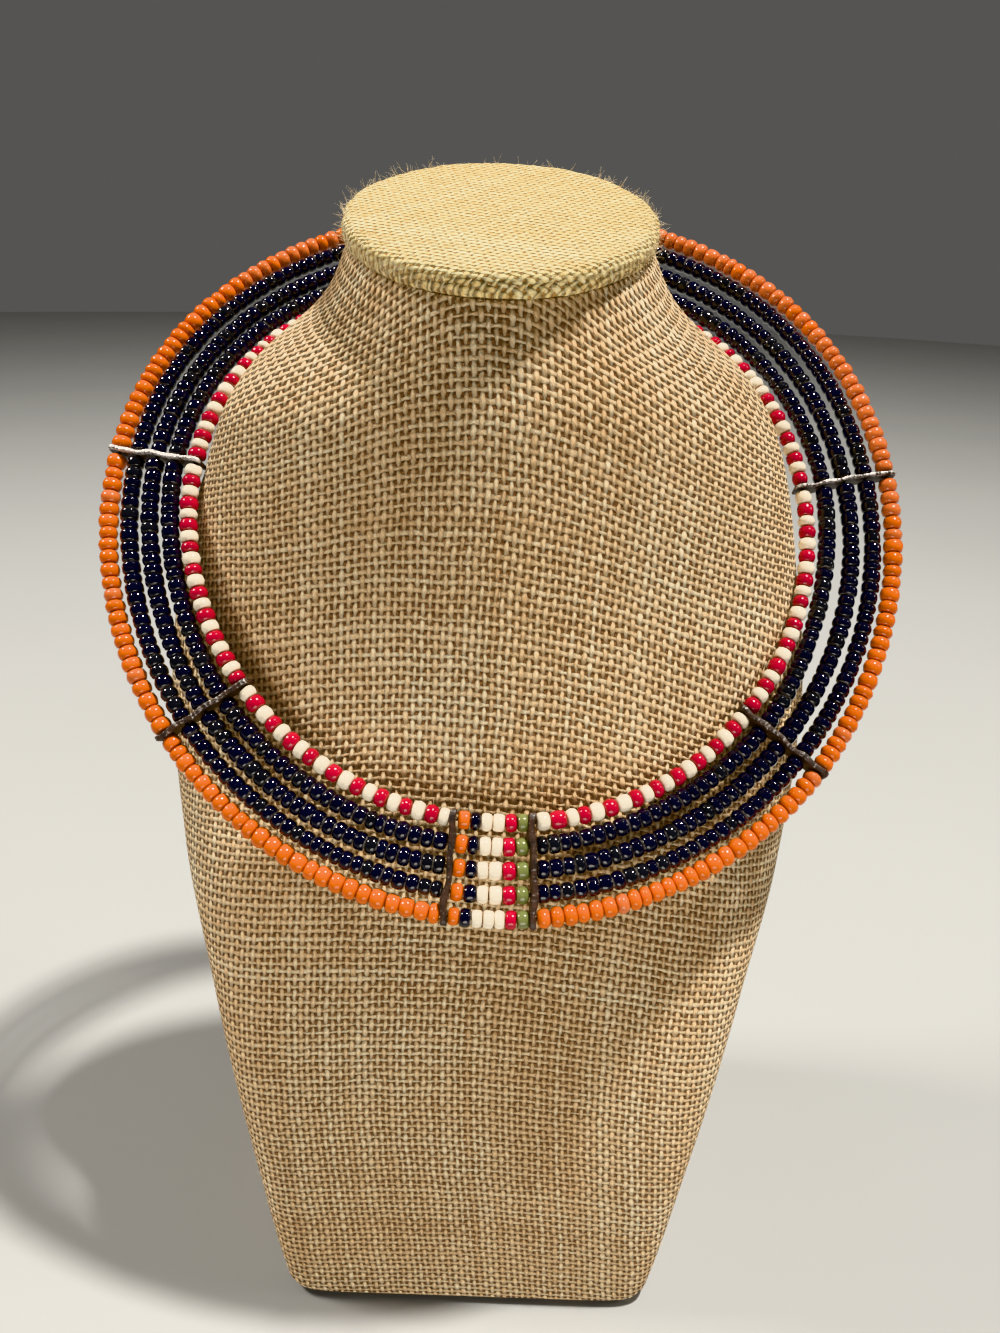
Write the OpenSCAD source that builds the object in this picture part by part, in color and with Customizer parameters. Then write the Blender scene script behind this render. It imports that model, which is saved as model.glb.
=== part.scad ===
// Rigid collar of five bead strands on a plain cloth-covered neck bust.
// Millimetres. +X is the viewer's right, the front faces -Y, +Z is up, and the
// origin is on the table under the middle of the whole thing's bounding box.

/* [Bust] */
// Height of the body at the middle of its neck, under the cap
bust_h = 234.9; // [200:0.5:260]
// Width across the shoulders as a share of the collar's diameter
shoulder_share = 0.858; // [0.8:0.002:0.88]
// Reach of the base in front of the neck's axis, as a share of the same
front_share = 0.317; // [0.28:0.001:0.34]
// Reach of the shoulders behind the neck's axis, as a share of the same
back_share = 0.223; // [0.2:0.001:0.26]

/* [Neck cap] */
// How far the cap stands out past the sides of the neck
cap_over = 1.3; // [0.5:0.1:4]
// Thickness of the cap
cap_t = 4.8; // [3:0.1:8]
// Rounding of the cap's rim
cap_round = 1.9; // [0.5:0.1:2.2]
// Forward lean of the neck's top and its cap
cap_lean = 19.2; // [10:0.1:26]

/* [Collar] */
// Diameter of the outermost strand's centre line
collar_d = 170.2; // [160:0.2:190]
// Distance from one strand's centre line to the next at the bars
strand_pitch = 4.64; // [4.4:0.02:5.5]
// Gap between the innermost beads and the nearer side of the bust, which sets
// how low the collar comes to lie
side_gap = 0.85; // [0.35:0.05:4]
// Forward lean of the collar
collar_lean = 48; // [40:0.5:56]
// Sideways lean, the viewer's right side lower
collar_roll = 3.6; // [0:0.2:6]
// Turn about the vertical, the viewer's right side further back
collar_turn = 5; // [0:0.2:8]
// Distance from the neck's axis to the collar's centre, to the viewer's right
collar_off = 3; // [0:0.2:6]
// How far the sides of the collar are bent up out of its plane
saddle = 3.4; // [0:0.1:6]
// How far the collar is bent in three waves
wave = 2.1; // [0:0.1:4]

/* [Strands] */
// Diameter of the outermost strand's beads
outer_bead_d = 4.1; // [3.6:0.05:4.2]
// Diameter of the three middle strands' beads
middle_bead_d = 3.7; // [3.2:0.05:3.9]
// Diameter of the innermost strand's beads
inner_bead_d = 3.75; // [3.2:0.05:3.9]
// Diameter of the wires
wire_d = 0.9; // [0.5:0.05:1.2]

/* [Bars] */
// Thickness of the spacer bars along the strands
bar_t = 1.3; // [0.9:0.1:2]
// Height of the bars across the face of the collar
bar_h = 4.7; // [4.3:0.1:7]
// How far a bar runs past the centre line of the first and last strand
bar_over = 1.9; // [1.6:0.1:3]

/* [Front panel] */
// Diameter of the panel's beads
panel_bead_d = 3.8; // [3.2:0.05:4]
// Gap between neighbouring beads along a wire
panel_gap = 0.15; // [0.1:0.05:0.4]

/* [Clasp] */
// Diameter of the clasp's barrel
clasp_d = 4; // [3:0.1:5]

/* [Clearances] */
// Clearance round a wire in its hole
wire_clear = 0.2; // [0.15:0.05:0.3]
// Gap between a bar's face and the first bead
bead_gap = 0.25; // [0.15:0.05:0.5]
// Gap between the collar and the bust where it rests
seat_gap = 0.3; // [0.2:0.05:0.5]
// Gap between the cap and the neck
cap_gap = 0.15; // [0.1:0.05:0.3]

/* [Hidden] */

// The bust is made to the collar's diameter
shoulder_w = shoulder_share * collar_d;
front_d = front_share * collar_d;
back_d = back_share * collar_d;

// Bust sections from the table up.
// Columns: height as a share of bust_h, half width as a share of shoulder_w / 2,
// front reach as a share of front_d, back reach as a share of back_d,
// squareness of the outline, lean as a share of cap_lean
SECTIONS = [
    [0.000, 0.585, 0.985, 0.73, 14.0, 0.00],
    [0.015, 0.612, 1.000, 0.75, 14.0, 0.00],
    [0.172, 0.715, 0.970, 0.82, 10.0, 0.00],
    [0.344, 0.850, 0.890, 0.92, 5.2, 0.00],
    [0.455, 0.956, 0.812, 0.98, 3.0, 0.00],
    [0.566, 1.000, 0.730, 1.00, 1.9, 0.00],
    [0.693, 0.913, 0.655, 0.99, 1.65, 0.00],
    [0.819, 0.800, 0.590, 0.96, 1.75, 0.00],
    [0.895, 0.675, 0.560, 0.86, 1.9, 0.30],
    [0.953, 0.480, 0.525, 0.77, 2.0, 0.65],
    [1.000, 0.401, 0.513, 0.73, 2.0, 1.00],
];
COL_H = 0;
COL_WIDTH = 1;
COL_FRONT = 2;
COL_BACK = 3;
COL_SQUARE = 4;
COL_LEAN = 5;
// Rows of the bust's skin and points in each row
bust_rows = 30;
bust_points = 60;

// Angle of the band to the collar's plane: all round, at the front, at the
// sides and in two waves
band_rise = 2.8;
band_front = 8;
band_side = 10.3;
band_wave = 1.7;
// Ovalness of the ring, and its turn that brings the front panel forward
ring_oval = 0.009;
panel_turn = -6.8;

// Bars. Columns: angle from the panel's middle at the outermost strand, the
// same at the innermost strand
BARS = [
    [-175.0, -175.0],
    [-95.2, -93.4],
    [-51.4, -49.9],
    [-5.5, -6.2],
    [6.1, 6.9],
    [51.4, 51.2],
    [99.0, 98.7],
    [175.0, 175.0],
];
// Sideways bow of each strand halfway between two bars, towards the neck, as a
// share of the room between two middle strands.
// Columns: one for each stretch between two bars
BOWS = [
    [0.00, 0.00, 0.00, 0.00, 0.11, 0.11, 0.00],
    [-0.32, 0.32, 0.11, 0.00, -0.11, -0.32, -0.21],
    [0.21, 0.43, 0.00, 0.00, 0.11, -0.43, 0.21],
    [0.21, 0.53, -0.11, 0.00, 0.32, 0.43, 0.43],
    [-0.11, -0.11, 0.00, 0.00, -0.21, -0.32, -0.11],
];
PANEL_STRETCH = 3;
LAST_STRAND = 4;
// Beads on each row of the front panel, from the outermost strand inwards
PANEL_ROWS = [
    ["orange", "navy", "white", "white", "white", "red", "green"],
    ["orange", "navy", "white", "white", "red", "green"],
    ["orange", "navy", "white", "white", "red", "green"],
    ["orange", "navy", "white", "white", "red", "green"],
    ["orange", "navy", "white", "white", "red", "green"],
];
BEAD_D = [outer_bead_d, middle_bead_d, middle_bead_d, middle_bead_d, inner_bead_d];

// Facets: sides of a strand's tube, rings in a long stretch and in the panel
tube_sides = 8;
stretch_rings = 9;
panel_rings = 3;
$fn = 48;
// Length of a strand's shoulder, and the knot at the end of each wire
shoulder_len = 0.4;
knot_d = 1.9;
knot_len = 1.2;
// Share of the strand pitch at which the clasp's rod passes the end bars
clasp_at = 2.5;

// Smooth value of one table column at a height share
function row_of(s, i = 1) = i >= len(SECTIONS) - 1 || s < SECTIONS[i][COL_H] ? i - 1 : row_of(s, i + 1);
function slope(i, col) = let (
        a = max(i - 1, 0),
        b = min(i + 1, len(SECTIONS) - 1)
    ) (SECTIONS[b][col] - SECTIONS[a][col]) / (SECTIONS[b][COL_H] - SECTIONS[a][COL_H]);
function section(s, col) = let (
        i = row_of(s),
        span = SECTIONS[i + 1][COL_H] - SECTIONS[i][COL_H],
        t = (s - SECTIONS[i][COL_H]) / span,
        v0 = SECTIONS[i][col],
        v1 = SECTIONS[i + 1][col],
        m0 = slope(i, col) * span,
        m1 = slope(i + 1, col) * span
    ) (2 * t ^ 3 - 3 * t ^ 2 + 1) * v0 + (t ^ 3 - 2 * t ^ 2 + t) * m0
        + (3 * t ^ 2 - 2 * t ^ 3) * v1 + (t ^ 3 - t ^ 2) * m1;

function half_w(s) = section(s, COL_WIDTH) * shoulder_w / 2;
function front(s) = section(s, COL_FRONT) * front_d;
function back(s) = section(s, COL_BACK) * back_d;

// One point of the bust's outline at height share s and direction a
function bust_point(s, a) = let (
        e = 2 / section(s, COL_SQUARE),
        x = half_w(s) * sign(cos(a)) * abs(cos(a)) ^ e,
        y = (sin(a) < 0 ? front(s) : back(s)) * sign(sin(a)) * abs(sin(a)) ^ e
    ) [x, y, s * bust_h + y * tan(section(s, COL_LEAN) * cap_lean)];

// Height share of the section that passes through a point
function lean_rise(s, y) = y * tan(section(s, COL_LEAN) * cap_lean) / bust_h;
function share_at(y, z) = let (s = max(0, min(1, z / bust_h))) max(0, min(1, s - lean_rise(s, y)));

// Depth of the bust's front face before or behind a point, or a far value
// beside the bust and behind its axis
FAR = 1000;
function face_y(p) = let (
        x = p.x,
        s = share_at(p.y, p.z),
        w = half_w(s),
        n = section(s, COL_SQUARE)
    ) abs(x) >= w || p.y > 0 ? FAR : -front(s) * (1 - (abs(x) / w) ^ n) ^ (1 / n);

// The collar comes down until its left or right side, which its saddle and roll
// lift above its centre, has only the side gap to the bust
SHOULDER = 5;
function share_of_width(w, low, high, steps = 24) = let (mid = (low + high) / 2)
    steps == 0 ? mid
    : half_w(mid) > w ? share_of_width(w, mid, high, steps - 1)
    : share_of_width(w, low, mid, steps - 1);
inner_r = collar_d / 2 - LAST_STRAND * strand_pitch - inner_bead_d / 2;
function lowest(side) = let (
        reach = inner_r - side * collar_off - side_gap,
        rise = saddle * cos(collar_lean) + side * inner_r * sin(collar_roll)
    ) bust_h * share_of_width(reach, SECTIONS[SHOULDER][COL_H], 1) - rise;
LEFT = 1;
RIGHT = -1;
collar_h = max(lowest(LEFT), lowest(RIGHT));

// The collar's own frame: its front faces -Y and its plane is level
function band_angle(a) = band_rise + band_front * cos(a) - band_side * sin(a) - band_wave * cos(2 * a);
function inward(a) = let (b = band_angle(a)) [-cos(b) * sin(a), cos(b) * cos(a), sin(b)];
function collar_point(a, depth) = let (
        r = collar_d / 2 * (1 + ring_oval * cos(2 * a)),
        h = -saddle * cos(2 * a) + wave * cos(3 * a)
    ) [r * sin(a), -r * cos(a), h] + depth * inward(a);
function unit(v) = v / norm(v);
function along(a, depth) = unit(collar_point(a + 0.5, depth) - collar_point(a - 0.5, depth));
function outward(a, depth) = unit(cross(along(a, depth), inward(a)));

// From the collar's frame to the bust's, before the collar is slid to its seat
function turn_x(v, a) = [v.x, v.y * cos(a) - v.z * sin(a), v.y * sin(a) + v.z * cos(a)];
function turn_y(v, a) = [v.x * cos(a) + v.z * sin(a), v.y, v.z * cos(a) - v.x * sin(a)];
function turn_z(v, a) = [v.x * cos(a) - v.y * sin(a), v.x * sin(a) + v.y * cos(a), v.z];
function turned(v) = turn_z(turn_y(turn_x(v, collar_lean), -collar_roll), collar_turn);
function lifted(v) = turned(v) + [collar_off, 0, collar_h];

// The collar slides until the undersides of its beads and bars clear the bust's
// face by the seat gap
SEAT_ANGLES = [for (a = [-120:3:120]) a + panel_turn];
UNDERSIDE = [0, 30, 60, 90];
function around(a, depth, side, down) = lifted(
        collar_point(a, depth) + side * inward(a) - down * outward(a, depth)
    );
BEAD_POINTS = [for (a = SEAT_ANGLES, k = [0:LAST_STRAND], b = UNDERSIDE)
    let (r = BEAD_D[k] / 2 + seat_gap) around(a, k * strand_pitch, r * cos(b), r * sin(b))];
BAR_POINTS = [for (bar = BARS, end = [0, 1])
    let (reach = end * LAST_STRAND * strand_pitch + (2 * end - 1) * bar_over)
        each [for (d = [-1, 1]) around(panel_turn + bar[end], reach, 0, d * (bar_h / 2 + seat_gap))]];
SEAT_POINTS = concat(BEAD_POINTS, BAR_POINTS);
seat_y = min([for (p = SEAT_POINTS) face_y(p) - p.y]);
function placed(v) = lifted(v) + [0, seat_y, 0];

// The origin lies under the middle of the whole thing
EDGE = [for (a = [0:2:358]) placed(collar_point(a, -outer_bead_d / 2))];
mid_x = (min([for (p = EDGE) p.x]) + max([for (p = EDGE) p.x])) / 2;
mid_y = (max([for (p = EDGE) p.y]) + min(-front_d, min([for (p = EDGE) p.y]))) / 2;

module at_bust() {
    translate([-mid_x, -mid_y, 0]) children();
}

module at_collar() {
    at_bust() translate([collar_off, seat_y, collar_h])
        rotate([collar_lean, -collar_roll, collar_turn]) children();
}

// Turns +Z to a direction, with +X as near as it goes to a second one
module facing(origin, z_dir, x_dir) {
    z = unit(z_dir);
    x = unit(x_dir - (x_dir * z) * z);
    y = cross(z, x);
    multmatrix([
        [x.x, y.x, z.x, origin.x],
        [x.y, y.y, z.y, origin.y],
        [x.z, y.z, z.z, origin.z],
        [0, 0, 0, 1],
    ]) children();
}

// A skin through rings of points that all have the same count. Each ring runs
// anticlockwise as seen from the last one
module skin(rings) {
    n = len(rings[0]);
    last = len(rings) - 1;
    points = [for (ring = rings, p = ring) p];
    sides = [for (i = [0:last - 1], j = [0:n - 1]) let (
            a = i * n + j,
            b = i * n + (j + 1) % n
        ) each [[a, b + n, b], [a, a + n, b + n]]];
    first_cap = [for (j = [0:n - 1]) j];
    last_cap = [for (j = [n - 1:-1:0]) last * n + j];
    polyhedron(points, concat(sides, [first_cap], [last_cap]), convexity = 10);
}

// Bust
module bust() {
    edge = SECTIONS[1][COL_H];
    shares = concat([0, edge / 3], [for (i = [0:bust_rows]) edge + (1 - edge) * i / bust_rows]);
    color("burlywood") at_bust()
        skin([for (s = shares) [for (j = [0:bust_points - 1]) bust_point(s, j * 360 / bust_points)]]);
}

module cap() {
    cap_r = half_w(1) + cap_over;
    neck_mid = (back(1) - front(1)) / 2;
    color("wheat") at_bust()
        translate([0, neck_mid, bust_h + neck_mid * tan(cap_lean)]) rotate([cap_lean, 0, 0])
            translate([0, 0, cap_gap + cap_t / 2]) rotate_extrude($fn = 96) intersection() {
                offset(cap_round) offset(-cap_round) square([cap_r * 2, cap_t], center = true);
                translate([0, -cap_t]) square([cap_r * 2, cap_t * 2]);
            }
}

// Angle of a bar at a strand, and the distance of a strand from the outermost
function bar_angle(bar, strand) = panel_turn + BARS[bar][0]
    + (BARS[bar][1] - BARS[bar][0]) * strand / LAST_STRAND;
function degrees_of(len, strand) = len / (collar_d / 2 - strand * strand_pitch) * 180 / PI;

// One strand: a tube as thick as its beads that necks down to its wire where it
// passes a bar, all along the front panel and at both ends
function ring_at(a, depth, r) = let (u = inward(a), n = outward(a, depth), c = collar_point(a, depth))
    [for (j = [0:tube_sides - 1]) let (b = j * 360 / tube_sides) c + r * (cos(b) * u + sin(b) * n)];
function stretch(strand, i) = let (
        edge = degrees_of(bar_t / 2 + wire_clear + bead_gap, strand),
        a0 = bar_angle(i, strand) + edge,
        a1 = bar_angle(i + 1, strand) - edge,
        step = degrees_of(shoulder_len, strand),
        full = i != PANEL_STRETCH,
        r = full ? BEAD_D[strand] / 2 : wire_d / 2,
        bow = BOWS[strand][i] * (strand_pitch - middle_bead_d),
        count = full ? stretch_rings : panel_rings,
        b0 = a0 + step,
        b1 = a1 - step
    ) concat(
        [ring_at(a0, strand * strand_pitch, wire_d / 2)],
        [for (j = [0:count]) let (t = j / count)
            ring_at(b0 + (b1 - b0) * t, strand * strand_pitch + bow * sin(180 * t), r)],
        [ring_at(a1, strand * strand_pitch, wire_d / 2)]
    );
function knot(strand, bar, side) = let (
        a = bar_angle(bar, strand) + side * degrees_of(bar_t / 2 + bead_gap / 2, strand),
        step = side * degrees_of(knot_len, strand),
        lip = side * degrees_of(bead_gap / 2, strand)
    ) [for (p = [[step, knot_d], [lip, knot_d], [0, wire_d]]) ring_at(a + p[0], strand * strand_pitch, p[1] / 2)];

module strand(k) {
    last_bar = len(BARS) - 1;
    tail = knot(k, last_bar, 1);
    rings = concat(
        knot(k, 0, -1),
        [for (i = [0:last_bar - 1]) each stretch(k, i)],
        [for (i = [2:-1:0]) tail[i]]
    );
    at_collar() skin(rings);
}

// One spacer bar: a flat strip on edge, drilled for the five wires
module bar(i) {
    a = bar_angle(i, LAST_STRAND / 2);
    p0 = collar_point(bar_angle(i, 0), 0);
    p1 = collar_point(bar_angle(i, LAST_STRAND), LAST_STRAND * strand_pitch);
    span = norm(p1 - p0);
    run = along(a, LAST_STRAND / 2 * strand_pitch);
    across = unit(p1 - p0);
    end_bar = i == 0 || i == len(BARS) - 1;
    hole_r = wire_d / 2 + wire_clear;
    round_r = bar_h / 4;
    color("saddlebrown") at_collar() facing(p0, run - (run * across) * across, across)
        difference() {
            translate([-bar_over, -bar_h / 2, -bar_t / 2]) linear_extrude(bar_t)
                translate([round_r, round_r]) offset(round_r)
                    square([span + 2 * bar_over - 2 * round_r, bar_h - 2 * round_r]);
            for (k = [0:LAST_STRAND])
                translate([span * k / LAST_STRAND, 0, 0]) cylinder(h = bar_t * 3, r = hole_r, center = true);
            if (end_bar)
                translate([span * clasp_at / LAST_STRAND, 0, 0])
                    cylinder(h = bar_t * 3, r = hole_r, center = true);
        }
}

// Front panel
module bead(d, len) {
    hole_r = wire_d / 2 + wire_clear;
    soft = len * 0.3;
    rotate_extrude() difference() {
        offset(soft, $fn = 24) offset(-soft) square([d, len], center = true);
        translate([-d, -len]) square([d + hole_r, len * 2]);
    }
}

module panel_beads(colour) {
    for (k = [0:LAST_STRAND]) {
        row = PANEL_ROWS[k];
        edge = degrees_of(bar_t / 2 + panel_gap, k);
        a0 = bar_angle(PANEL_STRETCH, k) + edge;
        a1 = bar_angle(PANEL_STRETCH + 1, k) - edge;
        step = (a1 - a0) / len(row);
        bead_len = step / degrees_of(1, k) - panel_gap;
        for (j = [0:len(row) - 1]) {
            a = a0 + step * (j + 0.5);
            depth = k * strand_pitch;
            if (row[j] == colour)
                at_collar() facing(collar_point(a, depth), along(a, depth), inward(a))
                    bead(panel_bead_d, bead_len);
        }
    }
}

// Clasp: a barrel on a rod whose ends sit in both end bars
module clasp() {
    last_bar = len(BARS) - 1;
    depth = clasp_at * strand_pitch;
    a0 = bar_angle(0, 0);
    a1 = bar_angle(last_bar, 0);
    p0 = collar_point(a0, depth);
    p1 = collar_point(a1, depth);
    reach = norm(p1 - p0);
    inset = bar_t / 2 + wire_clear + bead_gap * 2 + knot_len;
    color("silver") at_collar() facing((p0 + p1) / 2, p1 - p0, inward(a0)) union() {
        cylinder(h = reach + bar_t, d = wire_d, center = true);
        cylinder(h = reach - 2 * inset, d = clasp_d, center = true);
    }
}

bust();
cap();
color("darkorange") strand(0);  // strand_orange
color("midnightblue") strand(1);  // strand_navy_outer
color("midnightblue") strand(2);  // strand_navy_middle
color("midnightblue") strand(3);  // strand_navy_inner
color("crimson") strand(4);  // strand_red_white
bar(0);  // bar_end_left
bar(1);  // bar_side_left
bar(2);  // bar_lower_left
bar(3);  // bar_front_left
bar(4);  // bar_front_right
bar(5);  // bar_lower_right
bar(6);  // bar_side_right
bar(7);  // bar_end_right
color("darkorange") panel_beads("orange");  // panel_orange_beads
color("midnightblue") panel_beads("navy");  // panel_navy_beads
color("ivory") panel_beads("white");  // panel_white_beads
color("crimson") panel_beads("red");  // panel_red_beads
color("darkseagreen") panel_beads("green");  // panel_green_beads
clasp();
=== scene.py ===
"""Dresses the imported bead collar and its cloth-covered neck bust.

Lengths in the classes are millimetres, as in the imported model's own drawing, and
turn into metres where a mesh is placed. +X is the viewer's right, the front
faces -Y and the table is Z = 0.
"""

from __future__ import annotations

import logging
import math
import random
from collections.abc import Callable, Iterator, Mapping, Sequence
from contextlib import contextmanager
from dataclasses import dataclass, field
from enum import Enum

import bpy
import numpy as np
from mathutils import Euler, Matrix, Vector

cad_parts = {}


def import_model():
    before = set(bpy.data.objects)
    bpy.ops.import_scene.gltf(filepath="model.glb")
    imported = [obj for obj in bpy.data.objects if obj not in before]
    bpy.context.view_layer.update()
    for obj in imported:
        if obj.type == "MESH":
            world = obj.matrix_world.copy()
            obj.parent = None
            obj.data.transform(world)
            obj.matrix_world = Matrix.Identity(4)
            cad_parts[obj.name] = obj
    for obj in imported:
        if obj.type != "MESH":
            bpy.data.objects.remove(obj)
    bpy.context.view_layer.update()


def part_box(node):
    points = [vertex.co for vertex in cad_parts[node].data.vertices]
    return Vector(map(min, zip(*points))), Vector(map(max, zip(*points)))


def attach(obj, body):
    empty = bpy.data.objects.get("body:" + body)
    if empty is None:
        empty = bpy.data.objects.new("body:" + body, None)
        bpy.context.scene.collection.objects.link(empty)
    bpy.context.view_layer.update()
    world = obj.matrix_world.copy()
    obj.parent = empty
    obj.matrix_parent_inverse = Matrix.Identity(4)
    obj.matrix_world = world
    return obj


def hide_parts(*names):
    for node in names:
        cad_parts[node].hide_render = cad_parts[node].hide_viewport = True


LOG = logging.getLogger("bead_collar")
MM = 0.001
Colour = tuple[float, float, float]
# A bead's diameter and length, then its colour choice and shade.
Look = tuple[tuple[float, float], tuple[float, float]]


def srgb(red: int, green: int, blue: int) -> Colour:
    """Turns a colour as seen on a screen, 0 to 255, into a linear one."""
    shares = (c / 255 for c in (red, green, blue))
    return tuple(c / 12.92 if c <= 0.04045 else ((c + 0.055) / 1.055) ** 2.4 for c in shares)


def unit(v: np.ndarray) -> np.ndarray:
    """Scales a vector, or each row of an array of vectors, to length one."""
    return v / np.linalg.norm(v, axis=-1, keepdims=True)


def walked(line: np.ndarray) -> np.ndarray:
    """Gives the way walked along a line up to each of its points."""
    return np.concatenate([[0.0], np.cumsum(np.linalg.norm(np.diff(line, axis=0), axis=1))])


def placed(x: np.ndarray, y: np.ndarray, z: np.ndarray, at: np.ndarray) -> Matrix:
    """Gives the matrix of a part from its three axes and its place in millimetres."""
    return Matrix([*(np.stack([x, y, z, at], axis=1) * MM).tolist(), (0.0, 0.0, 0.0, 1.0)])


# ---------------------------------------------------------------- workbench


class Bench:
    """Small steps of modelling with Blender's operators."""

    @staticmethod
    def clear() -> None:
        """Leaves nothing selected, so that an operator acts on new work alone."""
        bpy.ops.object.select_all(action="DESELECT")

    @staticmethod
    def take(piece: bpy.types.Object) -> None:
        """Makes a piece the only selected and the active one.

        Args:
            piece: The piece.
        """
        Bench.clear()
        piece.select_set(True)
        bpy.context.view_layer.objects.active = piece

    @staticmethod
    def new(name: str) -> bpy.types.Object:
        """Names the primitive that was just added, and its mesh.

        Args:
            name: The name of both.

        Returns:
            The piece.
        """
        piece = bpy.context.active_object
        piece.name = piece.data.name = name
        return piece

    @staticmethod
    @contextmanager
    def edit(piece: bpy.types.Object) -> Iterator[bpy.types.Mesh]:
        """Opens a piece in edit mode with all of it selected.

        Args:
            piece: The mesh object to edit.

        Yields:
            Its mesh.
        """
        Bench.take(piece)
        bpy.ops.object.mode_set(mode="EDIT")
        bpy.ops.mesh.select_all(action="SELECT")
        yield piece.data
        bpy.ops.object.mode_set(mode="OBJECT")

    @staticmethod
    def pick_edges(piece: bpy.types.Object, test: Callable[[Vector], bool]) -> None:
        """Selects the edges of a piece in edit mode that pass a test.

        Args:
            piece: The mesh object, in edit mode.
            test: Says of the way between an edge's ends whether it is selected.
        """
        bpy.ops.mesh.select_mode(type="EDGE")
        bpy.ops.mesh.select_all(action="DESELECT")
        bpy.ops.object.mode_set(mode="OBJECT")
        points = piece.data.vertices
        for edge in piece.data.edges:
            edge.select = test(points[edge.vertices[0]].co - points[edge.vertices[1]].co)
        bpy.ops.object.mode_set(mode="EDIT")

    @staticmethod
    def soften(piece: bpy.types.Object, width: float, segments: int) -> None:
        """Rounds a piece's sharp edges with an applied bevel.

        Args:
            piece: The mesh object.
            width: The bevel's width.
            segments: The number of its faces.
        """
        Bench.take(piece)
        bevel = piece.modifiers.new("Bevel", "BEVEL")
        bevel.width = width
        bevel.segments = segments
        bevel.limit_method = "ANGLE"
        bpy.ops.object.modifier_apply(modifier=bevel.name)

    @staticmethod
    def points(piece: bpy.types.Object) -> np.ndarray:
        """Reads a piece's vertices.

        Args:
            piece: The mesh object.

        Returns:
            One row for each vertex.
        """
        flat = np.zeros(len(piece.data.vertices) * 3, np.float32)
        piece.data.vertices.foreach_get("co", flat)
        return flat.reshape(-1, 3).astype(float)

    @staticmethod
    def move(piece: bpy.types.Object, points: np.ndarray) -> None:
        """Moves a piece's vertices to the rows of an array."""
        piece.data.vertices.foreach_set("co", points.astype(np.float32).ravel())
        piece.data.update()

    @staticmethod
    def mark(piece: bpy.types.Object, name: str, rows: np.ndarray) -> None:
        """Writes a vector attribute on a piece's vertices, one row for each."""
        marks = piece.data.attributes.new(name, "FLOAT_VECTOR", "POINT")
        marks.data.foreach_set("vector", rows.astype(np.float32).ravel())

    @staticmethod
    def lay_weave(piece: bpy.types.Object, u: np.ndarray, v: np.ndarray) -> None:
        """Writes the cloth's UV map, in millimetres, from values per vertex.

        Args:
            piece: The mesh object, which has a UV map.
            u: The place along the cloth's rows at each vertex.
            v: The place up the cloth at each vertex.
        """
        mesh = piece.data
        corner = np.zeros(len(mesh.loops), np.int32)
        mesh.loops.foreach_get("vertex_index", corner)
        layer = mesh.uv_layers[0]
        layer.name = "weave"
        rows = np.stack([u[corner], v[corner]], axis=1)
        layer.data.foreach_set("uv", rows.astype(np.float32).ravel())

    @staticmethod
    def copy(pattern: bpy.types.Object, matrix: Matrix) -> bpy.types.Object:
        """Copies a pattern piece, with a mesh of its own, to a place.

        Args:
            pattern: The piece that is repeated.
            matrix: Its place.

        Returns:
            The copy, linked to the scene.
        """
        twin = pattern.copy()
        twin.data = pattern.data.copy()
        twin.data.transform(matrix)
        bpy.context.collection.objects.link(twin)
        return twin

    @staticmethod
    def join(name: str, parts: Sequence[bpy.types.Object]) -> bpy.types.Object:
        """Joins parts into one piece.

        Args:
            name: The piece's name.
            parts: The parts, all of them meshes at the origin.

        Returns:
            The joined piece.
        """
        Bench.clear()
        for part in parts:
            part.select_set(True)
        bpy.context.view_layer.objects.active = parts[0]
        bpy.ops.object.join()
        return Bench.new(name)

    @staticmethod
    def discard(*pieces: bpy.types.Object) -> None:
        """Takes pattern pieces out of the scene."""
        for piece in pieces:
            bpy.data.objects.remove(piece)

    @staticmethod
    def smooth(piece: bpy.types.Object, angle: float = 60.0) -> None:
        """Shades a piece smooth across edges flatter than an angle in degrees."""
        Bench.take(piece)
        bpy.ops.object.shade_smooth_by_angle(angle=math.radians(angle))

    @staticmethod
    def sweep(name: str, line: np.ndarray, radius: float, sides: int = 2) -> bpy.types.Object:
        """Makes a round wire along a line.

        Args:
            name: The wire's name.
            line: The points it follows, in metres.
            radius: Its radius in metres.
            sides: The roundness of its section.

        Returns:
            The wire as a mesh.
        """
        Bench.clear()
        bpy.ops.curve.primitive_bezier_curve_add()
        wire = Bench.new(name)
        wire.data.splines.clear()
        spline = wire.data.splines.new("POLY")
        spline.points.add(len(line) - 1)
        for point, place in zip(spline.points, line):
            point.co = (*place, 1.0)
        wire.data.dimensions = "3D"
        wire.data.bevel_depth = radius
        wire.data.bevel_resolution = sides
        wire.data.use_fill_caps = True
        Bench.take(wire)
        bpy.ops.object.convert(target="MESH")
        return Bench.new(name)


# ---------------------------------------------------------------- finishes


def adding(operation: str, swapped: bool = False) -> Callable[..., Signal]:
    """Makes an operator for signals, which adds a Math node.

    Args:
        operation: The node's operation.
        swapped: Whether the signal is the second of the two values.

    Returns:
        The operator.
    """

    def act(self: Signal, *others: Signal | float) -> Signal:
        """Adds the node and gives its result."""
        values = (*others, self) if swapped else (self, *others)
        return self.paint.math(operation, *values)

    return act


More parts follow.
